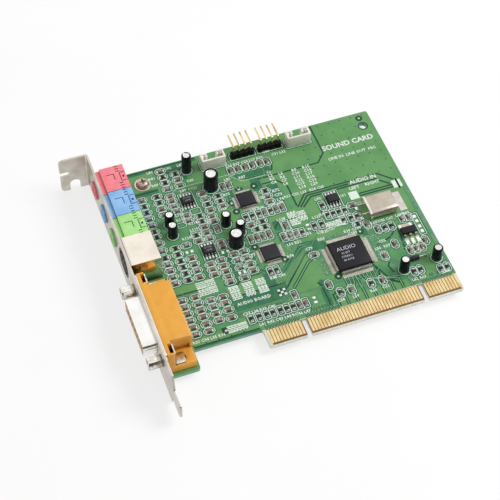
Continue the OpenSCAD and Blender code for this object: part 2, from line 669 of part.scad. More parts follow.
// Bent contact of square wire, from its socket to below the board
module port_tail(p) {
    z = tail_z[p[2]];
    h = tail_w / 2;
    low = -board_t - lead_out;
    along_y(p[1] - h, p[1] + h) polygon([[port_x - 0.6, z - h], [p[0] - h, z - h], [p[0] - h, low],
        [p[0] + h, low], [p[0] + h, z], [p[0], z + h], [port_x - 0.6, z + h]]);
}
module game_port_housing() {
    foot_len = flange_len / 2 - port_body_len / 2;
    color("#e9a53f") card() difference() {
        union() {
            along_x(port_x, port_body_x) polygon(rounded(box_points(port_y - flange_len / 2, 0,
                port_y + flange_len / 2, port_top), [0, 0, 0.6, 0.6], 4));
            translate([0, port_y - port_body_len / 2, 0]) along_y(0, port_body_len)
                polygon(rounded([[port_body_x - eps, 0], [port_back, 0], [port_back, port_top - 0.9],
                    [port_body_x + 1.1, port_top - 0.3], [port_body_x - eps, port_top - 0.3]],
                    [0, 0, 0.8, 0, 0], 4));
            block([port_body_x - eps, port_y - flange_len / 2, 0],
                [port_back - 0.3, port_y + flange_len / 2, foot_top]);
        }
        for (s = [-1, 1]) {
            y = port_y + s * port_screws / 2;
            inner = port_y + s * (port_body_len / 2 - 0.9);
            block([port_body_x, min(inner, inner + s * 2), foot_top],
                [port_back - 1.2, max(inner, inner + s * 2), foot_top + 3.2]);
            rod_x(port_x - 1, port_body_x + 1, y, port_z, thread_r);
            rod_x(port_body_x - nut_t, port_body_x + 1, y, port_z, nut_r);
            block([port_body_x - nut_t, y - nut_r, port_z], [port_body_x + 1, y + nut_r, port_top + 1]);
            translate([lock_x, y, -1]) cylinder(h = foot_top + 1, r = lock_hole_r - 0.2);
        }
        for (p = port_tails) port_tail(p);
    }
}
module game_port_shell() {
    color("#d8d2c6") card() difference() {
        union() {
            along_x(face_in, port_x)
                polygon(rounded(box_points(port_y - flange_len / 2, port_z - flange_h / 2,
                    port_y + flange_len / 2, port_top), [1.2, 1.2, 1.2, 1.2], 4));
            translate([0, port_y, port_z]) along_x(face_out - shell_out, face_in)
                d_shape(shell_w, shell_h, 2.4);
        }
        translate([0, port_y, port_z]) along_x(face_out - shell_out - 1, port_x + 1)
            d_shape(shell_w - 2 * shell_t, shell_h - 2 * shell_t, 2.0);
        for (y = port_ends) rod_x(face_in - 1, port_x + 1, y, port_z, thread_r);
    }
}
module game_port_face() {
    front = face_out - shell_out + 0.2;
    color("#d99a45") card() difference() {
        translate([0, port_y, port_z]) along_x(front, port_x)
            d_shape(shell_w - 2 * shell_t, shell_h - 2 * shell_t, 2.0);
        for (p = port_tails) {
            block([port_x - 0.6, p[1] - tail_w / 2, tail_z[p[2]] - tail_w / 2],
                [port_x + 1, p[1] + tail_w / 2, tail_z[p[2]] + tail_w / 2]);
            rod_x(front - 1, port_x - 0.6, p[1], tail_z[p[2]], port_socket_r);
        }
    }
}
module game_port_contacts() {
    front = face_out - shell_out + 0.2;
    color("#d9b765") card() for (p = port_tails) {
        port_tail(p);
        difference() {
            rod_x(front + 0.4, port_x - 0.6, p[1], tail_z[p[2]], port_socket_r);
            rod_x(front - 1, front + 5.5, p[1], tail_z[p[2]], port_socket_r - 0.2);
        }
    }
}
module jackscrews() {
    flat = hex_w / 2 / cos(30);
    color("#cfc8bd") card() for (y = port_ends) translate([face_out, y, port_z]) rotate([0, 90, 0])
        difference() {
            union() {
                translate([0, 0, -hex_len]) rotate(30) cylinder(h = hex_len, r = flat, $fn = 6);
                translate([0, 0, -0.8]) cylinder(h = port_body_x - face_out + 0.8, r = thread_r);
            }
            translate([0, 0, -hex_len - 1]) cylinder(h = hex_len, r = thread_r);
        }
}
nut_t = 1.5;
nut_r = 2.1;
lock_t = 0.5;
module clinch_nuts() {
    color("#c4beb2") card() for (y = port_ends) difference() {
        rod_x(port_body_x - nut_t, port_body_x + lock_t, y, port_z, nut_r);
        rod_x(port_body_x - nut_t - 1, port_body_x + lock_t + 1, y, port_z, thread_r);
    }
}
// Board lock: strap from the nut along the foot, and two springy prongs through the board
module board_locks() {
    prong = [0.5, 1.4];
    half = strap_w / 2;
    color("#dcd6ca") card() for (y = port_ends) translate([0, y, 0]) {
        difference() {
            union() {
                block([port_body_x, -half, foot_top], [port_body_x + lock_t, half, port_top - 0.8]);
                block([port_body_x, -half, foot_top], [lock_x + 0.85, half, foot_top + lock_t]);
            }
            rod_x(port_body_x - 1, port_body_x + 1, 0, port_z, nut_r + 0.05);
        }
        for (s = [-1, 1]) along_y(-prong[1] / 2, prong[1] / 2)
            polygon([for (p = [[0.3, foot_top + eps], [0.3, -board_t - 0.4], [0.5, -board_t - lead_out],
                [0.9, -board_t - lead_out], [1.25, -board_t - 0.3], [0.8, -0.4], [0.8, foot_top + eps]])
                [lock_x + s * p[0], p[1]]]);
    }
}

// White header: open box with a floor and a notch in its far wall
module audio_box(x) {
    w = (header_count - 1) * box_pitch + 2 * box_end;
    floor_t = 1.0;
    x0 = x - box_end;
    x1 = x0 + w;
    y0 = audio_y - box_deep / 2;
    y1 = y0 + box_deep;
    side = 3.1;
    shelf = 1.7;
    slit = 0.75;
    difference() {
        linear_extrude(box_h) polygon(rounded(box_points(x0, y0, x1, y1), [0.3, 0.3, 0.3, 0.3], 3));
        block([x0 + box_wall, y0 + box_wall, floor_t], [x1 - box_wall, y1 - shelf, box_h + 1]);
        block([x0 + side, y1 - shelf - 0.1, floor_t], [x1 - side, y1 + 1, box_h + 1]);
        block([x0 + box_wall, y1 - shelf - 0.1, box_h - 0.5], [x1 - box_wall, y1 - box_wall, box_h + 1]);
        for (c = [x0 + side - 1.2, x1 - side + 1.2])
            block([c - slit / 2, y1 - shelf - 0.1, floor_t], [c + slit / 2, y1 - box_wall, box_h + 1]);
        for (p = box_pins(x)) block([p[0] - box_pin_w / 2, p[1] - box_pin_w / 2, -1],
            [p[0] + box_pin_w / 2, p[1] + box_pin_w / 2, floor_t + 1]);
    }
}
module left_audio_header() {
    color("#e8e4da") card() audio_box(audio_x[0]);
}
module right_audio_header() {
    color("#e8e4da") card() audio_box(audio_x[1]);
}
module audio_header_pins() {
    h = box_pin_w / 2;
    tip = box_h - 0.8;
    color("#d9d3c6") card() for (x = audio_x) for (p = box_pins(x)) translate([p[0], p[1], 0]) {
        block([-h, -h, -board_t - lead_out], [h, h, tip - 0.4]);
        translate([0, 0, tip - 0.4]) linear_extrude(0.4, scale = 0.6) square(box_pin_w, center = true);
    }
}
// Side header: notched strip, and pins that turn outwards over the board's edge
module side_strip(x) {
    h = side_block / 2;
    cut = 0.45;
    difference() {
        linear_extrude(side_block) union() {
            for (i = [0 : header_count - 1]) translate([x + i * pin_pitch, side_y])
                polygon([[-pin_pitch / 2, cut - h], [cut - pin_pitch / 2, -h], [pin_pitch / 2 - cut, -h],
                    [pin_pitch / 2, cut - h], [pin_pitch / 2, h - cut], [pin_pitch / 2 - cut, h],
                    [cut - pin_pitch / 2, h], [-pin_pitch / 2, h - cut]]);
        }
        for (p = header_pins(x, side_y)) block([p[0] - pin_w / 2, p[1] - pin_w / 2, -1],
            [p[0] + pin_w / 2, p[1] + pin_w / 2, side_block + 1]);
    }
}
module left_side_header() {
    color("#1d1d20") card() side_strip(side_x[0]);
}
module right_side_header() {
    color("#1d1d20") card() side_strip(side_x[1]);
}
module side_header_pins() {
    low = -board_t - lead_out;
    h = pin_w / 2;
    bend = 0.9;
    color("#e3c583") card() for (x = side_x) for (p = header_pins(x, side_y))
        translate([p[0] - h, p[1], 0]) rotate([90, 0, 90]) linear_extrude(pin_w)
            polygon(rounded([[-h, low], [h, low], [h, side_pin_z - h], [side_pin_len, side_pin_z - h],
                [side_pin_len, side_pin_z + h], [-h, side_pin_z + h]], [0, 0, 0.3, 0, 0, bend], 4));
}

// Moulded chip body with drafted sides, standing off the board
stand = 0.1;
module chip_body(w, d, h, draft = 0.25) {
    mid = stand + (h - stand) * 0.45;
    intersection() {
        along_y(-d / 2, d / 2) polygon([[draft - w / 2, stand], [w / 2 - draft, stand], [w / 2, mid],
            [w / 2 - draft, h], [draft - w / 2, h], [-w / 2, mid]]);
        along_x(-w / 2, w / 2) polygon([[draft - d / 2, stand], [d / 2 - draft, stand], [d / 2, mid],
            [d / 2 - draft, h], [draft - d / 2, h], [-d / 2, mid]]);
    }
}
// Gull-wing lead from a body's side at x = 0, along +x
module gull(reach, h, w, t) {
    mid = stand + (h - stand) * 0.45;
    foot = reach * 0.42;
    knee = reach * 0.34;
    translate([0, w / 2, 0]) rotate([90, 0, 0]) linear_extrude(w)
        polygon([[0, mid - t / 2], [knee - t * 0.7, mid - t / 2], [reach - foot - t * 0.4, 0], [reach, 0],
            [reach, t], [reach - foot + t * 0.2, t], [knee + t * 0.2, mid + t / 2], [0, mid + t / 2]]);
}
module gull_row(count, pitch, w, span, h, lead_w, t) {
    for (i = [0 : count - 1]) translate([w / 2, (i - (count - 1) / 2) * pitch, 0])
        gull((span - w) / 2, h, lead_w, t);
}
module dimple(x, y, z, r) {
    translate([x, y, z - 0.1]) cylinder(h = 1, r = r);
}
module main_chip() {
    color("#2b2a2f") card() translate([main_at[0], main_at[1], 0]) difference() {
        chip_body(main_w, main_w, main_h, 0.3);
        dimple(1.6 - main_w / 2, main_w / 2 - 1.6, main_h, 0.6);
    }
}
module main_chip_leads() {
    color("#b5aea6") card() translate([main_at[0], main_at[1], 0]) for (a = [0:90:270]) rotate(a)
        gull_row(25, fine_pitch, main_w, main_span, main_h, 0.24, 0.16);
}
module converter_chips() {
    color("#2f2c30") card() for (c = codec_at) translate([c[0], c[1], 0]) difference() {
        chip_body(codec_w, codec_w, codec_h);
        dimple(1.2 - codec_w / 2, codec_w / 2 - 1.2, codec_h, 0.4);
    }
}
module converter_leads() {
    color("#b5aea6") card() for (c = codec_at) translate([c[0], c[1], 0]) for (a = [0:90:270]) rotate(a)
        gull_row(12, fine_pitch, codec_w, codec_span, codec_h, 0.24, 0.15);
}
module small_chip() {
    difference() {
        chip_body(small_w, small_d, small_h, 0.2);
        dimple(0.9 - small_w / 2, 0.9 - small_d / 2, small_h, 0.35);
    }
}
module small_leads() {
    for (a = [90, 270]) rotate(a) gull_row(4, 1.27, small_d, small_span, small_h, 0.42, 0.2);
}
module amplifier_chips() {
    color("#2b2a2f") card() for (c = amplifier_at) translate([c[0], c[1], 0]) small_chip();
}
module amplifier_leads() {
    color("#cdc7be") card() for (c = amplifier_at) translate([c[0], c[1], 0]) small_leads();
}
module memory_chip() {
    color("#2b2a2f") card() translate([memory_at[0], memory_at[1], 0]) small_chip();
}
module memory_leads() {
    color("#cdc7be") card() translate([memory_at[0], memory_at[1], 0]) small_leads();
}
module regulator() {
    s = regulator_size;
    color("#26252a") card() translate([regulator_at[0], regulator_at[1], 0])
        chip_body(s[0], s[1], s[2], 0.3);
}
module regulator_leads() {
    s = regulator_size;
    color("#cdc7be") card() translate([regulator_at[0], regulator_at[1], 0]) {
        for (x = [-2.3, 0, 2.3]) translate([x, 0, 0]) rotate(-90) translate([s[1] / 2, 0, 0])
            gull(1.9, s[2], 0.8, 0.28);
        rotate(90) translate([s[1] / 2, 0, 0]) gull(1.9, s[2], 3.1, 0.28);
    }
}

module crystal_can() {
    r = crystal_h / 2;
    x0 = crystal_base_t;
    x1 = x0 + crystal_len;
    color("#bfb4a4") card() translate([crystal_at[0], crystal_at[1], crystal_z]) intersection() {
        along_x(x0, x1) union() {
            square([crystal_w - 2 * r, crystal_h], center = true);
            for (s = [-1, 1]) translate([s * (crystal_w / 2 - r), 0]) circle(r = r);
        }
        translate([0, 0, -r - 1]) linear_extrude(crystal_h + 2)
            polygon(rounded(box_points(x0, -crystal_w / 2, x1, crystal_w / 2), [0, 1.2, 1.2, 0]));
        along_y(-crystal_w, crystal_w)
            polygon(rounded(box_points(x0, -r, x1, r), [0, 0.8, 0.8, 0]));
    }
}
module crystal_base() {
    w = crystal_w + 0.75;
    color("#d2cabd") card() translate([crystal_at[0], crystal_at[1], crystal_z])
        along_x(0, crystal_base_t) union() {
            square([w - 2 * crystal_z, 2 * crystal_z], center = true);
            for (s = [-1, 1]) translate([s * (w / 2 - crystal_z), 0]) circle(r = crystal_z);
        }
}
module bent_wire(x0, x1, y, z, r) {
    rod_x(min(x0, x1), max(x0, x1), y, z, r);
    translate([x1, y, z]) sphere(r = r);
    translate([x1, y, -board_t - lead_out]) cylinder(h = z + board_t + lead_out, r = r);
}
module crystal_leads() {
    color("#cfc9bf") card() for (s = [-1, 1])
        bent_wire(crystal_at[0], crystal_at[0] - crystal_lead_reach,
            crystal_at[1] + s * crystal_lead_gap / 2, crystal_z, wire_hole[1] / 2);
}
module diode() {
    color("#222126") card() translate([diode_at[0] + diode_shift - diode_len / 2, diode_at[1], diode_r])
        rotate([0, 90, 0]) rotate_extrude() polygon(rounded([[0, 0], [diode_r, 0], [diode_r, diode_len],
            [0, diode_len]], [0, 0.3, 0.3, 0], 3));
}
module diode_leads() {
    color("#cfc9bf") card() for (s = [-1, 1])
        bent_wire(diode_at[0] + diode_shift + s * diode_len / 2, diode_at[0] + s * diode_span / 2,
            diode_at[1], diode_r, wire_hole[1] / 2);
}

// Electrolytic capacitor: can with a crimped foot and a scored vent, shrunk sleeve, bung and leads
module can_profile(r, h, lip) {
    crimp = 0.35;
    polygon([[0, bung_h], [r - 0.5, bung_h], [r - 0.5, bung_lift], [r - 0.15, bung_lift], [r, 0.6],
        [r, 1.3], [r - crimp, 1.7], [r, 2.1], [r, h - 0.35], [r - 0.35, h],
        [lip, h], [lip - 0.15, h - 0.12], [0, h - 0.12]]);
}
module capacitor_cans() {
    color("#e4e1dc") card() for (c = can_places) translate([c[0], c[1], 0]) difference() {
        rotate_extrude() can_profile(can_dia(c) / 2 - sleeve_t, c[3], lip_at(c));
        for (a = [45, 135]) rotate(a) block([-can_dia(c) * 0.27, -0.09, c[3] - 0.25],
            [can_dia(c) * 0.27, 0.09, c[3] + 1]);
    }
}
module capacitor_sleeves() {
    color("#15161a") card() for (c = can_places) translate([c[0], c[1], 0]) {
        r = can_dia(c) / 2;
        i = r - sleeve_t;
        rotate_extrude() polygon([[i, 0.6], [r, 0.6], [r, 1.35], [r - 0.35, 1.7], [r, 2.05],
            [r, c[3] - 0.3], [r - 0.3, c[3] + sleeve_t], [lip_at(c), c[3] + sleeve_t],
            [lip_at(c), c[3]], [i - 0.35, c[3]], [i, c[3] - 0.35], [i, 2.1], [i - 0.35, 1.7],
            [i, 1.3]]);
    }
}
module capacitor_bungs() {
    color("#2a2a2c") card() for (c = can_places) translate([c[0], c[1], 0]) difference() {
        cylinder(h = bung_h, r = can_dia(c) / 2 - sleeve_t - 0.5);
        for (s = [-1, 1]) translate([s * can_lead_gap / 2, 0, -1])
            cylinder(h = bung_h + 2, r = wire_hole[1] / 2);
    }
}
module capacitor_leads() {
    color("#cfc9bf") card() for (c = can_places, s = [-1, 1])
        translate([c[0] + s * can_lead_gap / 2, c[1], -board_t - lead_out])
            cylinder(h = board_t + lead_out + bung_h, r = wire_hole[1] / 2);
}

module chip_middles(places, h) {
    for (p = places) translate([p[0], p[1], 0]) rotate(p[2])
        block([chip_end - chip_len / 2, -chip_w / 2, 0], [chip_len / 2 - chip_end, chip_w / 2, h]);
}
module chip_ends(places, h) {
    for (p = places, s = [0, 180]) translate([p[0], p[1], 0]) rotate(p[2] + s)
        block([chip_len / 2 - chip_end, -chip_w / 2, 0], [chip_len / 2, chip_w / 2, h]);
}
module chip_resistors() {
    color("#1f1e22") card() chip_middles(resistor_places, resistor_h);
}
module chip_capacitors() {
    color("#a98a6d") card() chip_middles(ceramic_places, ceramic_h);
}
module ferrite_beads() {
    color("#a49ba3") card() chip_middles(bead_places, bead_h);
}
module resistor_ends() {
    color("#d8d5cf") card() chip_ends(resistor_places, resistor_h);
}
module capacitor_ends() {
    color("#d8d5cf") card() chip_ends(ceramic_places, ceramic_h);
}
module bead_ends() {
    color("#d8d5cf") card() chip_ends(bead_places, bead_h);
}

// Cone of solder under the board round the end of each lead
module solder_joints() {
    color("#c9c7c2") card() for (p = lead_places) translate([p[0], p[1], -board_t]) difference() {
        mirror([0, 0, 1]) rotate_extrude() polygon([[0, 0], [p[2][0] + joint_rim, 0],
            [p[2][1] / 2 + 0.35, joint_h * 0.45], [p[2][1] / 2 + 0.25, joint_h], [0, joint_h]]);
        translate([0, 0, -lead_out]) if (p[2][2] > 0)
            translate([-p[2][1] / 2, -p[2][1] / 2, 0]) cube([p[2][1], p[2][1], lead_out + 1]);
        else cylinder(h = lead_out + 1, r = p[2][1] / 2);
    }
}

circuit_board();
edge_contacts();
bracket();
bracket_screw();
line_out_jack();
line_in_jack();
microphone_jack();
jack_contacts();
round_port_shield();
round_port_core();
round_port_contacts();
game_port_housing();
game_port_shell();
game_port_face();
game_port_contacts();
jackscrews();
clinch_nuts();
board_locks();
left_audio_header();
right_audio_header();
audio_header_pins();
left_side_header();
right_side_header();
side_header_pins();
main_chip();
main_chip_leads();
converter_chips();
converter_leads();
amplifier_chips();
amplifier_leads();
memory_chip();
memory_leads();
regulator();
regulator_leads();
crystal_can();
crystal_base();
crystal_leads();
diode();
diode_leads();
capacitor_cans();
capacitor_sleeves();
capacitor_bungs();
capacitor_leads();
chip_resistors();
chip_capacitors();
ferrite_beads();
resistor_ends();
capacitor_ends();
bead_ends();
solder_joints();
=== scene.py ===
import math
import random
import bpy
from mathutils import Matrix, Vector


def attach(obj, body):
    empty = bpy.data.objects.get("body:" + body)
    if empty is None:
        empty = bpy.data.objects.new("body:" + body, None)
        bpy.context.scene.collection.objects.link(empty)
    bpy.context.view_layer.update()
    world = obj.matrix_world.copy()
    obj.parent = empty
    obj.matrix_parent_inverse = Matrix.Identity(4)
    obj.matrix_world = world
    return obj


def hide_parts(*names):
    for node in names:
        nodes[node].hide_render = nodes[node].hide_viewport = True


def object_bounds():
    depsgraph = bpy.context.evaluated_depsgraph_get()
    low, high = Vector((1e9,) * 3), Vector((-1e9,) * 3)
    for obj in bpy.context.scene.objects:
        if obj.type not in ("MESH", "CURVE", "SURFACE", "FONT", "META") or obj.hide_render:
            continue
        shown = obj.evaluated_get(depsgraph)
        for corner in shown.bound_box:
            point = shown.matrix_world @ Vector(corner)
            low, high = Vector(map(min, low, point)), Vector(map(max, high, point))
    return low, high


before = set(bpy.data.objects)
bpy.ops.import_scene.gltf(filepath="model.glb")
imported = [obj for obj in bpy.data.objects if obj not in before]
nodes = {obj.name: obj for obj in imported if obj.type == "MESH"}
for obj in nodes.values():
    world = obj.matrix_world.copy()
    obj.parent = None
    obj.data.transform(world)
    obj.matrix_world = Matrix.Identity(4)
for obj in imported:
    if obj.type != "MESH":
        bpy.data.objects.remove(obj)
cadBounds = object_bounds()
random.seed(7)
print("frame loaded:", len(nodes), "nodes")

# Places on the card are in millimetres: x from the first contact, y from the lower edge of the
# contact tab, z from the component side. The frame's origin is the middle of the contact row.
card = {"firstContact": 38.735, "faceHeight": 0.785, "thickness": 1.57, "contactPitch": 1.27}


def at(x, y, z=0.0):
    return Vector(((x - card["firstContact"]) / 1000, y / 1000, (z + card["faceHeight"]) / 1000))


def mm(value):
    return value / 1000


def linear(hexText):
    parts = [int(hexText[i:i + 2], 16) / 255 for i in (1, 3, 5)]
    return tuple(c / 12.92 if c <= 0.04045 else ((c + 0.055) / 1.055) ** 2.4 for c in parts) + (1.0,)


def connect(tree, node, links):
    for key, source in links.items():
        tree.links.new(source, node.inputs[key])


def addNode(tree, kind, settings=None, links=None):
    # A socket's name or number sets that socket, "stops" sets a colour ramp, the rest are options
    made = tree.nodes.new("ShaderNode" + kind)
    for key, value in (settings or {}).items():
        if key == "stops":
            for element, (place, colour) in zip(made.color_ramp.elements, value):
                element.position = place
                element.color = colour
        elif isinstance(key, int) or key in made.inputs:
            made.inputs[key].default_value = value
        else:
            setattr(made, key, value)
    connect(tree, made, links or {})
    return made


def newMaterial(name, colour, roughness, settings=None):
    material = bpy.data.materials.new(name)
    material.use_nodes = True
    tree = material.node_tree
    shader = tree.nodes["Principled BSDF"]
    for key, value in {"Base Color": linear(colour), "Roughness": roughness, **(settings or {})}.items():
        shader.inputs[key].default_value = value
    return material, tree, shader


def grainAt(tree, sizeMm, detail=3.0, rough=0.55, stretch=None):
    # A pattern of a real size, laid on the piece's own coordinates
    where = addNode(tree, "TexCoord").outputs["Object"]
    if stretch:
        where = addNode(tree, "Mapping", {"Scale": stretch}, {"Vector": where}).outputs[0]
    return addNode(tree, "TexNoise", {"Scale": 1000 / sizeMm, "Detail": detail, "Roughness": rough},
                   {"Vector": where}).outputs["Fac"]


def driftingColour(tree, sizeMm, first, second, low=0.35, high=0.65, detail=3.0, stretch=None):
    # One colour runs into the other in patches of about this size
    patches = grainAt(tree, sizeMm, detail, stretch=stretch)
    return addNode(tree, "ValToRGB", {"stops": [(low, linear(first)), (high, linear(second))]},
                   {"Fac": patches}).outputs["Color"]


def addSkin(tree, shader, sizeMm, depthMm, strength, detail=3.0, rough=0.55, stretch=None):
    # The surface's fine relief, whose grain can also make its gloss uneven
    grain = grainAt(tree, sizeMm, detail, rough, stretch)
    relief = addNode(tree, "Bump", {"Strength": strength, "Distance": mm(depthMm)}, {"Height": grain})
    connect(tree, shader, {"Normal": relief.outputs[0]})
    return grain


def unevenGloss(tree, shader, grain, least, most):
    gloss = addNode(tree, "MapRange", {"From Min": 0.3, "From Max": 0.7, "To Min": least, "To Max": most},
                    {"Value": grain})
    connect(tree, shader, {"Roughness": gloss.outputs[0]})


def paintedCreviceShade(tree, colour, dark, reachMm, low=0.3, high=0.85):
    # Painted shade: narrow slots and inside corners, which ambient occlusion finds closed in, are darkened towards
    # a given colour
    openness = addNode(tree, "AmbientOcclusion", {"samples": 12, "Distance": mm(reachMm)}).outputs["AO"]
    share = addNode(tree, "MapRange", {"From Min": low, "From Max": high}, {"Value": openness}).outputs[0]
    return addNode(tree, "Mix", {"data_type": "RGBA", 6: linear(dark)}, {0: share, 7: colour}).outputs[2]


def whereAll(tree, tests):
    # 1 where every test holds, each as (comparison, what is compared, limit)
    share = None
    for comparison, value, limit in tests:
        passed = addNode(tree, "Math", {"operation": comparison, 1: limit}, {0: value}).outputs[0]
        if share is not None:
            passed = addNode(tree, "Math", {"operation": "MULTIPLY"}, {0: share, 1: passed}).outputs[0]
        share = passed
    return share


def makeLaminate():
    # Glass laminate under a cured solder mask: a green glaze that runs a little deeper in places.
    # The contact tab and the cut edges have no mask and show pale glass, which the plating bath
    # has stained amber between the contacts.
    look = {"roughness": 0.32, "shine": 0.3, "mask": ("#5b9159", "#679c60"), "maskDrift": 9.0, "weave": 0.6,
            "bare": ("#cbccb8", "#dfe0d2"), "bareDrift": 0.9, "stain": ("#6e5230", "#805830"), "stainDrift": 0.7,
            "edge": ("#6a9f89", "#93bfab"), "edgeOfTab": ("#d3e0d4", "#e9f1e8"), "edgeDrift": 0.5,
            "edgeStretch": (0.2, 0.2, 3), "tabLeft": -42.0, "tabHead": 8.15, "contactFoot": 0.75,
            "contactHead": 7.9, "contactReach": 38.9}
    material, tree, shader = newMaterial("solderMaskedLaminate", look["mask"][1], look["roughness"],
                                         {"Specular IOR Level": look["shine"]})
    where = addNode(tree, "SeparateXYZ", links={"Vector": addNode(tree, "TexCoord").outputs["Object"]})
    across, up = where.outputs["X"], where.outputs["Y"]
    fromMiddle = addNode(tree, "Math", {"operation": "ABSOLUTE"}, {0: across}).outputs[0]
    facing = addNode(tree, "SeparateXYZ", links={"Vector": addNode(tree, "NewGeometry").outputs["Normal"]})
    upright = addNode(tree, "Math", {"operation": "ABSOLUTE"}, {0: facing.outputs["Z"]}).outputs[0]
    onTab = whereAll(tree, [("LESS_THAN", up, mm(look["tabHead"])), ("GREATER_THAN", across, mm(look["tabLeft"]))])
    amongContacts = whereAll(tree, [("GREATER_THAN", up, mm(look["contactFoot"])),
                                    ("LESS_THAN", up, mm(look["contactHead"])),
                                    ("LESS_THAN", fromMiddle, mm(look["contactReach"]))])
    onEdge = whereAll(tree, [("LESS_THAN", upright, 0.5)])
    mask = driftingColour(tree, look["maskDrift"], *look["mask"], high=0.6, detail=4.0)
    bare = driftingColour(tree, look["bareDrift"], *look["bare"])
    stain = driftingColour(tree, look["stainDrift"], *look["stain"])
    edge, edgeOfTab = [driftingColour(tree, look["edgeDrift"], *look[key], stretch=look["edgeStretch"])
                       for key in ("edge", "edgeOfTab")]
    tab = addNode(tree, "Mix", {"data_type": "RGBA"}, {0: amongContacts, 6: bare, 7: stain}).outputs[2]
    face = addNode(tree, "Mix", {"data_type": "RGBA"}, {0: onTab, 6: mask, 7: tab}).outputs[2]
    rim = addNode(tree, "Mix", {"data_type": "RGBA"}, {0: onTab, 6: edge, 7: edgeOfTab}).outputs[2]
    colour = addNode(tree, "Mix", {"data_type": "RGBA"}, {0: onEdge, 6: face, 7: rim}).outputs[2]
    connect(tree, shader, {"Base Color": colour})
    addSkin(tree, shader, look["weave"], 0.01, 0.35, 2.0)
    return material


def makePaint(name, first, second, roughness, drift):
    # Screen-printed ink or mask: flat, slightly uneven in depth
    material, tree, shader = newMaterial(name, first, roughness, {"Specular IOR Level": 0.3})
    connect(tree, shader, {"Base Color": driftingColour(tree, drift, first, second)})
    addSkin(tree, shader, 0.3, 0.01, 0.3)
    return material


def makeMetal(name, colour, dark, roughness, grain, stretch=None, depthMm=0.01, strength=0.3, drift=6.0,
              creviceShade=None, under=None):
    # Plated or drawn metal: the colour drifts a little and fine lines blur what it mirrors
    material, tree, shader = newMaterial(name, colour, roughness, {"Metallic": 1.0})
    plated = driftingColour(tree, drift, dark, colour, 0.3, 0.6)
    # Painted shade darkens the hollows and inside corners
    if creviceShade:
        plated = paintedCreviceShade(tree, plated, *creviceShade)
    if under:
        # Painted shade: faces that look down are darkened towards the given colour
        facing = addNode(tree, "SeparateXYZ", links={"Vector": addNode(tree, "NewGeometry").outputs["Normal"]})
        share = addNode(tree, "MapRange", {"From Min": -0.1, "From Max": 0.5}, {"Value": facing.outputs["Z"]})
        plated = addNode(tree, "Mix", {"data_type": "RGBA", 6: linear(under)},
                         {0: share.outputs[0], 7: plated}).outputs[2]
    connect(tree, shader, {"Base Color": plated})
    lines = addSkin(tree, shader, grain, depthMm, strength, 4.0, 0.6, stretch)
    unevenGloss(tree, shader, lines, roughness * 0.8, roughness * 1.3)
    return material


def makeMoulding(name, colour, shade, roughness, texture=0.35, depthMm=0.02, glow=0.0, shine=0.5, drift=4.0,
                 creviceShade=None):
    # Moulded plastic: even colour with a fine orange-peel skin from the steel of the mould
    settings = {"Specular IOR Level": shine}
    if glow:
        # Light comes back out of a pale plastic, which softens its edges
        settings.update({"Subsurface Weight": glow, "Subsurface Scale": 1.0,
                         "Subsurface Radius": (mm(1.2), mm(0.9), mm(0.7))})
    material, tree, shader = newMaterial(name, colour, roughness, settings)
    dyed = driftingColour(tree, drift, shade, colour, 0.2, 0.6)
    # Painted shade darkens the slots and inside corners
    if creviceShade:
        dyed = paintedCreviceShade(tree, dyed, *creviceShade)
    connect(tree, shader, {"Base Color": dyed})
    unevenGloss(tree, shader, grainAt(tree, 2.5), roughness * 0.85, roughness * 1.2)
    addSkin(tree, shader, texture, depthMm, 0.35, 2.0)
    return material


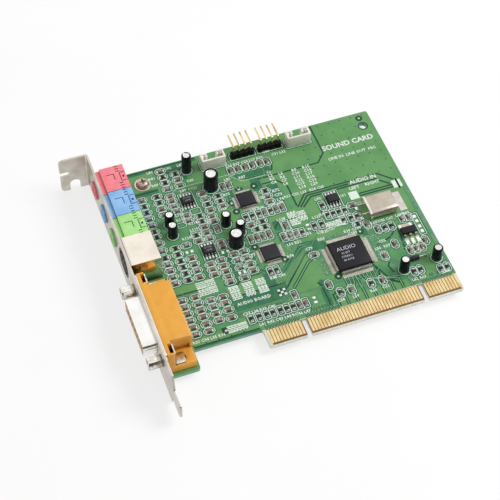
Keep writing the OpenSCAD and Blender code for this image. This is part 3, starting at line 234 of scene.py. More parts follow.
looks = {
    "laminate": makeLaminate(),
    # The mask is a green glaze: bottle green over bare laminate, darkest along an etched edge, and
    # lighter and yellower over copper
    "gap": makePaint("maskOverLaminate", "#2e6b48", "#3b7c56", 0.34, 3.0),
    "moat": makePaint("maskInEtchedMoat", "#123f2d", "#1b4f39", 0.34, 1.5),
    "beside": makePaint("maskBesideTrack", "#24573b", "#2d6848", 0.34, 3.0),
    "ground": makePaint("maskOverGroundGrid", "#4e8a57", "#5c9962", 0.34, 5.0),
    "track": makePaint("maskOverTrack", "#86b48c", "#6aa276", 0.34, 3.0),
    # A via tented by the mask: a pale rim round a dark dimple
    "viaRing": makePaint("tentedViaRing", "#a5cdaa", "#7fb389", 0.4, 1.0),
    "viaHole": makePaint("tentedViaHole", "#1c4a33", "#173d2b", 0.4, 1.0),
    # Chalky printed ink, and a line of it so thin that the green shows through
    "ink": makePaint("whiteScreenInk", "#eaf4ea", "#cfe0d2", 0.55, 0.6),
    "outlineInk": makePaint("thinScreenInk", "#dcf0e2", "#c0dccb", 0.55, 0.6),
    # A laser leaves a matte grey burn on epoxy, pale where it went deep
    "laserMark": makePaint("laserWhitenedEpoxy", "#d3d6de", "#b3b7c0", 0.6, 0.4),
    "faintMark": makePaint("laserGreyedEpoxy", "#a0a2aa", "#888a92", 0.6, 0.4),
    # Painted shadow: a dark brown ring round the screw head on its pad
    "screwShadowRing": makePaint("paintedScrewShadowRing", "#6a5040", "#4b372b", 0.5, 0.8),
    # Tin plate: a soft grey mirror, mottled by handling and duller where it was dipped
    "tin": makeMetal("tinPlatedCopper", "#dcd6d0", "#bdb5ae", 0.34, 0.25),
    "leadTin": makeMetal("brightLeadTin", "#eee2dc", "#d0c3bc", 0.34, 0.25),
    "tabTin": makeMetal("dippedTabTin", "#c9bbac", "#a29487", 0.34, 0.25),
    "endTin": makeMetal("dippedEndTin", "#96918a", "#3f3c3a", 0.34, 0.25, drift=0.8),
    # Reflowed solder sets bright, with small hollows that catch the light
    "solder": makeMetal("reflowedSolder", "#fefdfa", "#cbc6be", 0.32, 0.4, depthMm=0.04, drift=0.7),
    # Gold over nickel: warm, with the fine lines of rolled copper or drawn wire
    "gold": makeMetal("goldPlatedCopper", "#efd8a4", "#d8b678", 0.3, 0.2, (1, 0.12, 1)),
    "pinGold": makeMetal("goldFlashedWire", "#f3d9a0", "#c9a25c", 0.22, 0.2, (1, 0.12, 1)),
    # Zinc plate is a grainy grey-white with rolling lines. Tin and nickel are smoother mirrors. Painted shade
    # browns the corners of these plated parts, and the faces that look down on the screw and clips
    "bracket": makeMetal("zincPlatedSheet", "#d6d0c6", "#bbb4a9", 0.34, 0.35, (0.6, 0.08, 2.0), 0.01, 0.35),
    "screwZinc": makeMetal("zincPlatedScrew", "#cdbfae", "#8f8275", 0.42, 0.4, drift=1.8, creviceShade=("#4a3c30", 0.9)),
    "nickel": makeMetal("nickelPlatedSteel", "#f3eee4", "#e4dcd0", 0.14, 0.5, (1, 0.15, 1)),
    "shell": makeMetal("tinPlatedShell", "#fdfcfa", "#f3f0ea", 0.2, 0.5, (1, 0.15, 1),
                       creviceShade=("#7a5a3e", 2.6, 0.35, 0.75)),
    # Painted shade: the shield's lower wall goes dark brown near the housing, a painted reflection of the shaded
    # gap
    "shield": makeMetal("nickelPlatedShield", "#f8f0e2", "#ebe2d3", 0.16, 0.5, (1, 0.15, 1),
                        creviceShade=("#3b220e", 5.0, 0.25, 0.8)),
    "bright": makeMetal("brightNickelScrew", "#f8f4ec", "#cfc4b6", 0.16, 0.5, drift=1.5,
                        creviceShade=("#33251a", 1.2), under="#6e5a49"),
    "clip": makeMetal("stampedBrassClip", "#fbf5ea", "#b9a892", 0.18, 0.5, drift=1.4,
                      creviceShade=("#3a2617", 1.6), under="#7a5f45"),
    # Drawn aluminium is bright and blurred; the crystal's can is brushed along its length
    "can": makeMetal("drawnAluminium", "#f6f5f3", "#e4e2df", 0.22, 0.3),
    "crystal": makeMetal("brushedCanSteel", "#c9bfb1", "#b8ad9e", 0.3, 0.18, (0.08, 1, 1), 0.01, 0.4),
    # Glass-filled housings: even dye, soft sheen, and painted shade darkening each slot
    "pink": makeMoulding("pinkMouldedPbt", "#f98a95", "#ee7885", 0.38, glow=0.15, creviceShade=("#5e1c22", 0.9)),
    "blue": makeMoulding("blueMouldedPbt", "#93c3f2", "#7db2ea", 0.38, glow=0.15, creviceShade=("#14304f", 0.9)),
    "green": makeMoulding("limeMouldedPbt", "#aee592", "#9cd981", 0.38, glow=0.15, creviceShade=("#1f4a1c", 0.9)),
    "amber": makeMoulding("amberMouldedPbt", "#eba93c", "#e09c30", 0.4, glow=0.1, creviceShade=("#5a2f0c", 1.2)),
    # Nylon: black takes the light away, the natural one glows a little, tan is matte
    "black": makeMoulding("blackMouldedNylon", "#060607", "#030304", 0.42, shine=0.14),
    "white": makeMoulding("naturalMouldedNylon", "#efece3", "#dfdbcf", 0.45, glow=0.2),
    "tan": makeMoulding("tanMouldedNylon", "#cfa677", "#b98f60", 0.5),
    # Chip epoxy: the mould is spark-eroded, so it scatters a grey sheen
    "epoxy": makeMoulding("sparkTexturedEpoxy", "#232228", "#1a191d", 0.5, 0.12, 0.012, shine=0.3),
    "darkEpoxy": makeMoulding("polishedChipEpoxy", "#1d1c21", "#151418", 0.46, 0.12, 0.012, shine=0.24),
    # Butyl rubber is dull, and the shrunk sleeve over the can is glossy
    "rubber": makeMoulding("butylRubber", "#1b1b1c", "#131313", 0.7, shine=0.3),
    "sleeve": makeMoulding("shrunkPvcSleeve", "#0a0b10", "#07080b", 0.26, 1.2, 0.01, shine=0.2),
    # Small chips: glazed black film, matte brown ceramic and lilac-grey ferrite
    "resistor": makeMoulding("glazedResistorFilm", "#1f1e23", "#151418", 0.3, 0.3, 0.01, shine=0.3),
    "ceramic": makeMoulding("firedTitanateCeramic", "#8b7263", "#6d5749", 0.45, 0.3, 0.01, drift=1.5),
    "ferrite": makeMoulding("firedFerrite", "#a69ca2", "#857b82", 0.4, 0.3, 0.01, drift=1.5),
}
print("materials made:", len(looks))


def deselectAll():
    bpy.ops.object.select_all(action="DESELECT")


def makeActive(piece):
    deselectAll()
    piece.select_set(True)
    bpy.context.view_layer.objects.active = piece


def applyPlace():
    bpy.ops.object.transform_apply(location=True, rotation=True, scale=True)


def paint(piece, look):
    piece.data.materials.clear()
    piece.data.materials.append(looks[look])


def finishPiece(piece, name, look, smoothAngle=30):
    makeActive(piece)
    applyPlace()
    piece.name = name
    piece.data.name = name
    paint(piece, look)
    bpy.ops.object.shade_smooth_by_angle(angle=math.radians(smoothAngle))
    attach(piece, "root")


def joinAll(pieces):
    deselectAll()
    for piece in pieces:
        piece.select_set(True)
    bpy.context.view_layer.objects.active = pieces[0]
    if len(pieces) > 1:
        bpy.ops.object.join()
    return bpy.context.view_layer.objects.active


def copyTo(model, matrices):
    copies = []
    for matrix in matrices:
        copy = model.copy()
        copy.data = model.data.copy()
        copy.data.transform(matrix)
        bpy.context.collection.objects.link(copy)
        copies.append(copy)
    bpy.data.objects.remove(model)
    return joinAll(copies)


def placeCopies(name, model, places, look):
    finishPiece(copyTo(model, places), name, look)


def placed(x, y, z=0.0, turn=0.0):
    return Matrix.Translation(at(x, y, z)) @ Matrix.Rotation(math.radians(turn), 4, "Z")


def heading(degrees):
    return math.cos(math.radians(degrees)), math.sin(math.radians(degrees))


def bevelEdges(piece, widthMm, segments=1, angle=30):
    bevel = piece.modifiers.new("softEdges", "BEVEL")
    bevel.width = mm(widthMm)
    bevel.segments = segments
    bevel.limit_method = "ANGLE"
    bevel.angle_limit = math.radians(angle)
    bpy.ops.object.modifier_apply(modifier="softEdges")


def solidBoxes(name):
    # The separate solids of a CAD node, as boxes on the card in millimetres
    mesh = nodes[name].data
    owner = {}
    keys = [tuple(round(c * 1e5) for c in vertex.co) for vertex in mesh.vertices]

    def root(key):
        while owner[key] != key:
            owner[key] = owner[owner[key]]
            key = owner[key]
        return key

    for key in keys:
        owner.setdefault(key, key)
    for face in mesh.polygons:
        first = root(keys[face.vertices[0]])
        for index in face.vertices[1:]:
            owner[root(keys[index])] = first
    groups = {}
    for key in owner:
        groups.setdefault(root(key), []).append(key)
    boxes = []
    for group in groups.values():
        low = [min(k[i] for k in group) / 100 for i in range(3)]
        high = [max(k[i] for k in group) / 100 for i in range(3)]
        boxes.append({"x": (low[0] + high[0]) / 2 + card["firstContact"], "y": (low[1] + high[1]) / 2,
                      "w": high[0] - low[0], "d": high[1] - low[1],
                      "low": low[2] - card["faceHeight"], "high": high[2] - card["faceHeight"]})
    return sorted(boxes, key=lambda solid: (round(solid["x"], 2), round(solid["y"], 2)))


def softened(name, look, widthMm, angle):
    # A copy of a CAD node with its sharp edges rounded, as a mould or press leaves them
    piece = nodes[name].copy()
    piece.data = nodes[name].data.copy()
    piece.parent = None
    bpy.context.collection.objects.link(piece)
    makeActive(piece)
    bpy.ops.object.mode_set(mode="EDIT")
    bpy.ops.mesh.select_all(action="SELECT")
    bpy.ops.mesh.remove_doubles(threshold=2e-6)
    bpy.ops.mesh.dissolve_limited(angle_limit=math.radians(1))
    bpy.ops.object.mode_set(mode="OBJECT")
    # The node's stored normals no longer fit its rounded edges
    if "custom_normal" in piece.data.attributes:
        piece.data.attributes.remove(piece.data.attributes["custom_normal"])
    bevelEdges(piece, widthMm, 2, angle)
    finishPiece(piece, name + "Soft", look)
    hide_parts(name)


# CAD nodes that keep their own mesh, with the look each takes
keptNodes = {
    "circuit_board": "laminate", "edge_contacts": "gold", "jack_contacts": "tin",
    "round_port_contacts": "tin", "game_port_face": "tan", "game_port_contacts": "gold",
    "clinch_nuts": "clip", "board_locks": "clip", "audio_header_pins": "tin",
    "main_chip_leads": "leadTin", "converter_leads": "tin", "amplifier_leads": "tin", "memory_leads": "tin",
    "regulator_leads": "tabTin", "crystal_leads": "tin", "diode_leads": "tin",
    "capacitor_cans": "can", "capacitor_sleeves": "sleeve", "capacitor_bungs": "rubber",
    "capacitor_leads": "tin", "solder_joints": "solder", "crystal_base": "nickel"}
for name, look in keptNodes.items():
    paint(nodes[name], look)

# CAD nodes that are softened: name, look, width of the rounding and least angle of an edge
softNodes = [
    ("bracket", "bracket", 0.16, 40), ("bracket_screw", "screwZinc", 0.12, 30),
    ("line_out_jack", "green", 0.18, 40), ("line_in_jack", "blue", 0.18, 40),
    ("microphone_jack", "pink", 0.18, 40), ("round_port_shield", "shield", 0.1, 40),
    ("round_port_core", "black", 0.08, 40), ("game_port_housing", "amber", 0.2, 40),
    ("game_port_shell", "shell", 0.14, 40), ("jackscrews", "bright", 0.2, 40),
    ("left_audio_header", "white", 0.12, 40), ("right_audio_header", "white", 0.12, 40),
    ("left_side_header", "black", 0.1, 30), ("right_side_header", "black", 0.1, 30),
    ("side_header_pins", "pinGold", 0.08, 40), ("main_chip", "darkEpoxy", 0.06, 20),
    ("converter_chips", "epoxy", 0.05, 20), ("amplifier_chips", "epoxy", 0.05, 20),
    ("memory_chip", "epoxy", 0.05, 20), ("regulator", "darkEpoxy", 0.06, 20),
    ("crystal_can", "crystal", 0.3, 30), ("diode", "epoxy", 0.1, 30), ("chip_resistors", "resistor", 0.06, 40),
    ("chip_capacitors", "ceramic", 0.08, 40), ("ferrite_beads", "ferrite", 0.08, 40),
    ("resistor_ends", "endTin", 0.08, 40), ("capacitor_ends", "endTin", 0.12, 40),
    ("bead_ends", "endTin", 0.12, 40)]
for name, look, width, angle in softNodes:
    softened(name, look, width, angle)
print("CAD nodes dressed:", len(keptNodes) + len(softNodes))

# The board's artwork takes its places from the small parts' solids
chips = solidBoxes("chip_resistors") + solidBoxes("chip_capacitors") + solidBoxes("ferrite_beads")
for chip in chips:
    chip["turn"] = 90 if chip["w"] > 1.22 else 0
capacitors = solidBoxes("capacitor_bungs")
mainChip = solidBoxes("main_chip")[0]
smallChips = solidBoxes("amplifier_chips") + solidBoxes("memory_chip")
converters = solidBoxes("converter_chips")
# Heights above the bare board of what is printed or etched, each clear of the one below
layer = {"ground": 0.008, "patch": 0.02, "gap": 0.03, "contactMoat": 0.032, "trackMoat": 0.034, "longMoat": 0.038,
         "outlineShadow": 0.042, "track": 0.045, "wideTrack": 0.048, "brightTrack": 0.051, "aiming": 0.05,
         "ink": 0.06, "screwRing": 0.078, "text": 0.08, "fuseBar": 0.09, "film": 0.012}
# Rows of fine leads: leads on a side, and from the chip's middle to their pads
leadPitch = 0.5
leadRows = {"main": {"count": 25, "reach": 9.2}, "converter": {"count": 12, "reach": 4.75}}


def addSpline(curve, points, closed, z):
    spline = curve.splines.new("POLY")
    spline.points.add(len(points) - 1)
    for point, (x, y) in zip(spline.points, points):
        point.co = (at(x, y).x, at(x, y).y, z, 1.0)
    spline.use_cyclic_u = closed


def curveMesh(name, curve):
    piece = bpy.data.objects.new(name, curve)
    bpy.context.collection.objects.link(piece)
    makeActive(piece)
    bpy.ops.object.convert(target="MESH")
    return bpy.context.view_layer.objects.active


def flatLines(name, paths, widthMm, baseMm, look):
    # Printed or etched lines: a flattened ribbon along each path, closed where the path says so
    face = at(0, 0).z
    curve = bpy.data.curves.new(name, "CURVE")
    curve.dimensions = "3D"
    curve.twist_mode = "Z_UP"
    curve.bevel_depth = mm(widthMm / 2)
    curve.bevel_resolution = 0
    curve.use_fill_caps = True
    for closed, points in paths:
        addSpline(curve, points, closed, face)
    piece = curveMesh(name, curve)
    flatten = layer["film"] / (widthMm / 2)
    piece.data.transform(Matrix.Translation((0, 0, face + mm(baseMm))) @ Matrix.Diagonal((1, 1, flatten, 1))
                         @ Matrix.Translation((0, 0, -face)))
    finishPiece(piece, name, look, 60)


def flatPatches(name, shapes, baseMm, look):
    # Flat filled areas, one outline each, with a hair of height between those that overlap
    pieces = []
    for index, points in enumerate(shapes):
        curve = bpy.data.curves.new(name, "CURVE")
        curve.dimensions = "2D"
        curve.fill_mode = "FRONT"
        addSpline(curve, points, True, 0.0)
        piece = curveMesh(name, curve)
        piece.location.z = at(0, 0, baseMm + index * 0.0001).z
        pieces.append(piece)
    finishPiece(joinAll(pieces), name, look)


def openPaths(paths):
    return [(False, points) for points in paths]


def outline(x, y, w, d, turn, cut):
    # Rectangle with cut corners
    a, b = w / 2, d / 2
    points = [(-a + cut, -b), (a - cut, -b), (a, -b + cut), (a, b - cut),
              (a - cut, b), (-a + cut, b), (-a, b - cut), (-a, -b + cut)]
    c, s = heading(turn)
    return True, [(x + c * px - s * py, y + s * px + c * py) for px, py in points]


def ring(x, y, radius, count=24):
    steps = [2 * math.pi * i / count for i in range(count)]
    return True, [(x + radius * math.cos(a), y + radius * math.sin(a)) for a in steps]


def box(x0, y0, x1, y1):
    return [(x0, y0), (x1, y0), (x1, y1), (x0, y1)]


def blockModel(w, d, heightMm, x=0.0):
    deselectAll()
    bpy.ops.mesh.primitive_cube_add(size=1)
    block = bpy.context.object
    block.scale = (mm(w), mm(d), mm(heightMm))
    block.location = (mm(x), 0, mm(heightMm / 2))
    applyPlace()
    return block


def padModel(w, d, heightMm=0.07):
    pad = blockModel(w, d, heightMm)
    bevelEdges(pad, heightMm * 0.6)
    return pad


def discModel(radius, heightMm=0.07, sides=16):
    deselectAll()
    bpy.ops.mesh.primitive_cylinder_add(vertices=sides, radius=mm(radius), depth=mm(heightMm),
                                        location=(0, 0, mm(heightMm / 2)))
    disc = bpy.context.object
    applyPlace()
    bevelEdges(disc, heightMm * 0.5)
    return disc


def quarterTurns():
    # Each side of a square chip, as its turn and the direction it faces
    return [(turn, *(round(part) for part in heading(turn))) for turn in (0, 90, 180, 270)]


def makePads():
    look = {"pad": (1.05, 1.35), "padSpacing": 2.1, "underChip": (3.9, 2.0), "underSmallChip": (5.2, 8.6),
            "smallChipPad": (0.7, 1.7), "smallChipReach": 3.0, "smallChipPitch": 1.27, "finePad": (1.0, 0.36),
            "barePad": (1.3, 1.5), "lugPad": (1.4, 2.8), "tabPad": (5.6, 2.0), "crystalPad": (3.0, 9.8),
            "leadRing": 0.75, "screw": (-23.1, 91.1), "screwPad": 3.35, "screwRing": 2.65, "aimingDot": 0.5}
    # Chip places that were left empty, as [x, y, turn]
    empty = [(-16, 52.4, 0), (-2.7, 47.7, 0), (22, 14.6, 90), (32.6, 48.4, 90),
             (24.3, 51.6, 90), (58.3, 37.9, 90), (0.2, 36.1, 0)]
    spots = []
    for x, y, turn in [(chip["x"], chip["y"], chip["turn"]) for chip in chips] + empty:
        for side in (-0.5, 0.5):
            step = side * look["padSpacing"]
            dx, dy = (0, step) if turn else (step, 0)
            spots.append(placed(x + dx, y + dy, 0, turn))
    placeCopies("chipPads", padModel(*look["pad"]), spots, "solder")
    # Painted shade: a dark patch of mask under and round each chip
    under = [placed(chip["x"], chip["y"], layer["gap"], chip["turn"]) for chip in chips]
    placeCopies("chipShadePatches", padModel(*look["underChip"], layer["film"]), under, "moat")
    # Painted shade: a dark patch under each small chip and between its leads
    under = [placed(chip["x"], chip["y"], layer["gap"]) for chip in smallChips]
    placeCopies("amplifierShadePatches", padModel(*look["underSmallChip"], layer["film"]), under, "moat")
    leads = [placed(chip["x"] + (i - 1.5) * look["smallChipPitch"], chip["y"] + side * look["smallChipReach"])
             for chip in smallChips for i in range(4) for side in (-1, 1)]
    placeCopies("amplifierPads", padModel(*look["smallChipPad"]), leads, "solder")
    fine = []
    for chip, row in [(mainChip, leadRows["main"])] + [(chip, leadRows["converter"]) for chip in converters]:
        for turn, c, s in quarterTurns():
            for i in range(row["count"]):
                off = (i - (row["count"] - 1) / 2) * leadPitch
                fine.append(placed(chip["x"] + c * row["reach"] - s * off, chip["y"] + s * row["reach"] + c * off,
                                   0, turn))
    placeCopies("chipLeadPads", padModel(*look["finePad"]), fine, "tin")
    bare = [(74.7, 39.2), (74.7, 36.8), (74.7, 34.0), (74.7, 31.5), (54.4, 50.6), (54.5, 45.3)]
    placeCopies("barePads", padModel(*look["barePad"]), [placed(x, y) for x, y in bare], "solder")
    lugs = [placed(x, 28.4) for x in (67.0, 69.3, 71.6)]
    placeCopies("regulatorLugPads", padModel(*look["lugPad"]), lugs, "solder")
    placeCopies("crystalPad", padModel(*look["crystalPad"]), [placed(72.2, 48.5)], "tin")
    placeCopies("regulatorPad", padModel(*look["tabPad"]), [placed(69.3, 36.0)], "solder")
    rings = [placed(can["x"] + side, can["y"]) for can in capacitors for side in (-1, 1)]
    placeCopies("leadRings", discModel(look["leadRing"]), rings, "solder")
    placeCopies("screwPad", discModel(look["screwPad"], sides=40), [placed(*look["screw"])], "leadTin")
    # Painted shadow: a dark ring at the rim of the screw head
    flatLines("screwRing", [ring(*look["screw"], look["screwRing"], 40)], 0.34, layer["screwRing"], "screwShadowRing")
    marks = [(-14.8, 12.6), (9.0, 46.0), (18.0, 36.5), (12.9, 75.7), (19.3, 75.4), (7.8, 69.8), (8.2, 65.2),
             (34.7, 21.9), (51.1, 39.4), (74.0, 95.4)]
    placeCopies("aimingDots", discModel(look["aimingDot"]), [placed(x, y) for x, y in marks], "tin")
    return marks


def makeFillets():
    # Solder wicked up each chip's end: a wedge with a hollow face
    look = {"reach": 0.42, "width": 1.1, "tip": 0.08, "rounding": 0.09, "fromMiddle": 0.98, "lift": 0.05}
    reach = look["reach"]
    wedge = blockModel(reach, look["width"], reach, reach / 2)
    for vertex in wedge.data.vertices:
        if min(vertex.co.x, vertex.co.z) > mm(reach / 2):
            vertex.co.x = mm(look["tip"])
    bevelEdges(wedge, look["rounding"], 2)
    spots = []
    for chip in chips:
        for angle in (chip["turn"], chip["turn"] + 180):
            dx, dy = heading(angle)
            spots.append(placed(chip["x"] + dx * look["fromMiddle"], chip["y"] + dy * look["fromMiddle"],
                                look["lift"], angle))
    placeCopies("solderFillets", wedge, spots, "solder")


def makeGaps():
    # Bare laminate under the mask: moats in the copper and the ground between the small parts
    lines = [
        [(52.6, 98), (52.6, 82.6), (48.6, 78.3), (22, 78.3)], [(-28.5, 86.3), (-18, 86.3)],
        [(32.3, 59.2), (37.3, 64.8), (69.3, 64.8), (74.4, 59.9)], [(33.4, 58.8), (38, 63.6), (56, 63.6)],
        [(34.5, 58.4), (39.2, 62.5), (67.4, 62.5), (72.2, 58.2)], [(58, 57.5), (73, 57.5)],
        [(58, 56.3), (73, 56.3)], [(22, 75.2), (29, 75.2), (32.2, 71.5), (32.2, 60)],
        [(30.5, 85), (29.5, 81.5), (26, 79.9), (17, 79.9)], [(-28, 33.9), (-17.5, 33.9)],
        [(-8.5, 33), (-6.4, 31.3), (-3.4, 31.3), (-1.8, 33)], [(14, 23.5), (26.5, 36.5), (30, 36.5)],
        [(-8, 26), (14, 26)], [(-8, 17.6), (11, 17.6)], [(-28, 97.6), (1, 97.6)], [(40.4, 50), (40.4, 58)],
        [(-28.5, 9.4), (-2.4, 9.4)], [(19.6, 52), (22, 54.6), (28, 54.6)], [(63.5, 10), (63.5, 14)],
        [(26, 22), (27, 20), (27, 10.5)], [(49.5, 24), (50.5, 19), (50, 17)], [(57, 23), (55, 20), (56, 16.5)],
        [(53, 13.5), (56, 11.5)], [(29.5, 15), (29.5, 9)], [(30.5, 15.5), (30.5, 9)],
        [(49.6, 22.8), (51, 19.7), (53.2, 14.2), (57.4, 10.2)], [(65.8, 36), (65.5, 31.3), (64.3, 25)],
        [(50.7, 28.3), (54.9, 30.9), (61.2, 32.8), (65.9, 36.5)]]
    flatLines("copperMoats", openPaths(lines), 0.7, layer["longMoat"], "moat")
    shapes = [
        box(-28.6, 96.2, 1.5, 98), box(-28.6, 84.6, -18, 87.3), box(-13.2, 88, -4.8, 97),
        box(-4.3, 57.6, 0, 71), box(-4.3, 33, 7.5, 48), box(7.2, 20.4, 11, 36), box(7.2, 66, 10, 78),
        box(18.6, 72.6, 22.4, 79.5), box(24.2, 64, 28.6, 74.2), box(13.5, 80.5, 29, 83.2),
        box(19.6, 46.5, 22.5, 54.4), box(28, 36.6, 35.4, 40.6), box(51.4, 36.8, 54.2, 41.4),
        box(-8, 19.3, 13.9, 25.4), box(62.2, 10, 64.8, 14.5), box(-28.6, 8.3, -2, 9.2), box(64.6, 22, 66, 32),
        [(33.5, 41.5), (36.5, 39), (35.5, 37), (30.5, 38.5), (27, 39), (15, 30), (14.5, 31.5), (18, 35), (26, 42)],
        [(19.4, 55.4), (22.6, 56), (22.6, 54), (21.4, 52), (21.4, 46.6), (24.4, 42.4), (22.4, 41.6), (19.4, 45.4)],
        [(27, 23), (28.5, 22.5), (28.5, 15.5), (28, 9), (25.5, 9), (25.5, 15), (26, 20)]]
    flatPatches("bareGround", shapes, layer["patch"], "gap")
    parts = [
        box(-28.6, 38, -13.5, 83), box(-13.5, 33, -4.3, 56), box(-13.5, 70, -4.5, 83), box(-4.3, 71, 7, 80),
        box(8, 47, 18, 63.5), box(20, 44.8, 52, 50.2), box(40.4, 50.2, 54.5, 58.5), box(-28.6, 13, -8.5, 32.5),
        box(-5.5, 12.2, 24, 17), box(28.7, 59.2, 32, 71), box(56, 35.5, 66, 40), box(72.5, 30, 76.2, 41),
        box(76.3, 9, 78.3, 57), box(-13.5, 56, -4.3, 70), box(20.5, 64, 24, 73), box(48, 12, 62, 22),
        box(24, 12.4, 48, 19), box(54, 20, 66, 34)]
    flatPatches("groundGrid", parts, layer["ground"], "ground")


def bent(x0, y0, x1, y1, straightFirst):
    # A track with one 45 degree run, at its start or after a straight piece
    dx, dy = x1 - x0, y1 - y0
    slant = min(abs(dx), abs(dy))
    sx, sy = math.copysign(slant, dx), math.copysign(slant, dy)
    share = 0.5 if straightFirst else 0.0
    turnX, turnY = x0 + (dx - sx) * share, y0 + (dy - sy) * share
    start = [(x0, y0), (turnX, turnY)] if straightFirst else [(x0, y0)]
    return start + [(turnX + sx, turnY + sy), (x1, y1)]


def nearest(spot, others):
    return sorted(others, key=lambda other: (other["x"] - spot["x"]) ** 2 + (other["y"] - spot["y"]) ** 2)


def makeTracks():
    look = {"track": 0.2, "trackMoat": 0.5, "wideTrack": 0.42, "wideMoat": 1.3, "contactMoat": 0.8,
            "brightTrack": 0.5, "via": 0.26, "groundVia": 0.3, "viaGrid": (5.05, 5.2), "contacts": 61}
    paths, contactRuns, vias = [], [], []
    wide = [[(28, 33), (26, 32), (16.5, 22.5)]]
    # From pad to pad between neighbours, and from each chip to a via
    for chip in chips:
        for other in random.sample(nearest(chip, chips)[1:7], 2):
            paths.append(bent(chip["x"], chip["y"], other["x"], other["y"], random.random() < 0.6))
        c, s = heading(random.choice((0, 90, 180, 270)))
        reach = random.uniform(2.0, 4.5)
        end = (chip["x"] + (c + s * 0.3) * reach, chip["y"] + (s + c * 0.3) * reach)
        if 10 < end[1] < 96 and -28 < end[0] < 77:
            paths.append(bent(chip["x"], chip["y"], end[0], end[1], False))
            vias.append(end)
    # From the large chip down to the contacts, out to both sides and up
    x0, y0 = mainChip["x"], mainChip["y"]
    for i in range(leadRows["main"]["count"]):
        fromMiddle = abs(i - 12)
        off = (i - 12) * leadPitch
        x1 = 30 + i * card["contactPitch"]
        if i % 3 == 0:
            wide.append([(x0 + off, y0 - 9.4), (x0 + off, y0 - 10.6 - fromMiddle * 0.25),
                         (x1, 12.4 + fromMiddle * 0.12), (x1, 8.4)])
        reach = random.uniform(1.2, 4.5)
        for side in (-1, 1):
            out = (x0 + side * (9.6 + reach), y0 + off + random.choice((-1, 0, 1)) * leadPitch)
            paths.append([(x0 + side * 9.3, y0 + off), (x0 + side * 10.2, y0 + off), out])
            if i % 2 == 0:
                vias.append(out)
        top = (x0 + off, y0 + 9.6 + random.uniform(0.8, 3.0))
        paths.append([(x0 + off, y0 + 9.3), top])
        if i % 3 == 0:
            vias.append(top)
    # From the smaller chips outwards, fanning a little
    for chip in converters:
        for _, c, s in quarterTurns():
            for i in range(0, leadRows["converter"]["count"], 2):
                off = (i - 5.5) * leadPitch
                reach = random.uniform(5.8, 8.0)
                start = (chip["x"] + c * 4.9 - s * off, chip["y"] + s * 4.9 + c * off)
                end = (chip["x"] + c * reach - s * off * 1.3, chip["y"] + s * reach + c * off * 1.3)
                paths.append([start, end])
                vias.append(end)
    # Long runs beside each other
    for i in range(5):
        paths.append([(12 + i * 0.9, 26), (12 + i * 0.9, 30 - i), (24 + i * 0.8, 42 - i * 1.2), (30, 42 - i * 1.1)])
        paths.append([(54 + i * 0.7, 44), (54 + i * 0.7, 24), (58 + i * 0.7, 20), (60 + i * 0.7, 9)])
        paths.append([(-8, 19 - i * 0.7), (10, 19 - i * 0.7), (14, 23 - i * 0.7), (14, 27)])
        paths.append([(76.9 + i * 0.35, 12), (76.9 + i * 0.35, 56 - i)])
    # Short drops onto the contacts, none in the keys or where the wide tracks come down
    for i in range(look["contacts"]):
        x = i * card["contactPitch"]
        if i not in (11, 12) and not 24 <= i <= 50:
            contactRuns.append([(x, 7.6), (x, 8.8 + random.random() * 1.6),
                                (x + random.choice((-0.6, 0.6)), 11.5)])
            vias.append((x, 9.8))
    bright = [[(-13, 83.2), (-11, 84.4), (11, 84.4), (15.6, 79.4), (26, 79.4)]]
    # Each track lies in a moat of bare laminate, which the mask turns dark
    flatLines("brightTrack", openPaths(bright), look["brightTrack"], layer["brightTrack"], "viaRing")
    flatLines("wideMoats", openPaths(wide), look["wideMoat"], layer["gap"], "moat")
    flatLines("wideTracks", openPaths(wide), look["wideTrack"], layer["wideTrack"], "track")
    flatLines("contactMoats", openPaths(contactRuns), look["contactMoat"], layer["contactMoat"], "moat")
    flatLines("trackMoats", openPaths(paths), look["trackMoat"], layer["trackMoat"], "beside")
    flatLines("tracks", openPaths(paths + contactRuns), look["track"], layer["track"], "track")
    stepX, stepY = look["viaGrid"]
    grid = [(45.5 + stepX * i, 96.9 - stepY * j) for i in range(7) for j in range(7)]
    grid += [(-28.7 + stepX * i, 10.05) for i in range(5)]
    flatVias = [placed(x, y) for x, y in grid if not (x < 53 and y > 88)]
    placeCopies("groundVias", discModel(look["groundVia"], 0.06, 10), flatVias, "viaHole")
    placeCopies("trackVias", discModel(look["via"], 0.07, 10), [placed(x, y) for x, y in vias], "viaRing")


def textBlock(words, x, y, size, turn=0, gap=0.75, bold=0.03):
    deselectAll()
    bpy.ops.object.text_add(location=tuple(at(x, y, layer["text"])), rotation=(0, 0, math.radians(turn)))
    text = bpy.context.object.data
    text.body = words
    text.size = mm(size)
    text.space_line = gap
    text.align_x = text.align_y = "CENTER"
    text.resolution_u = 1 if size < 2.4 else 2
    text.offset = mm(size * bold)
    bpy.ops.object.convert(target="MESH")
    return bpy.context.view_layer.objects.active


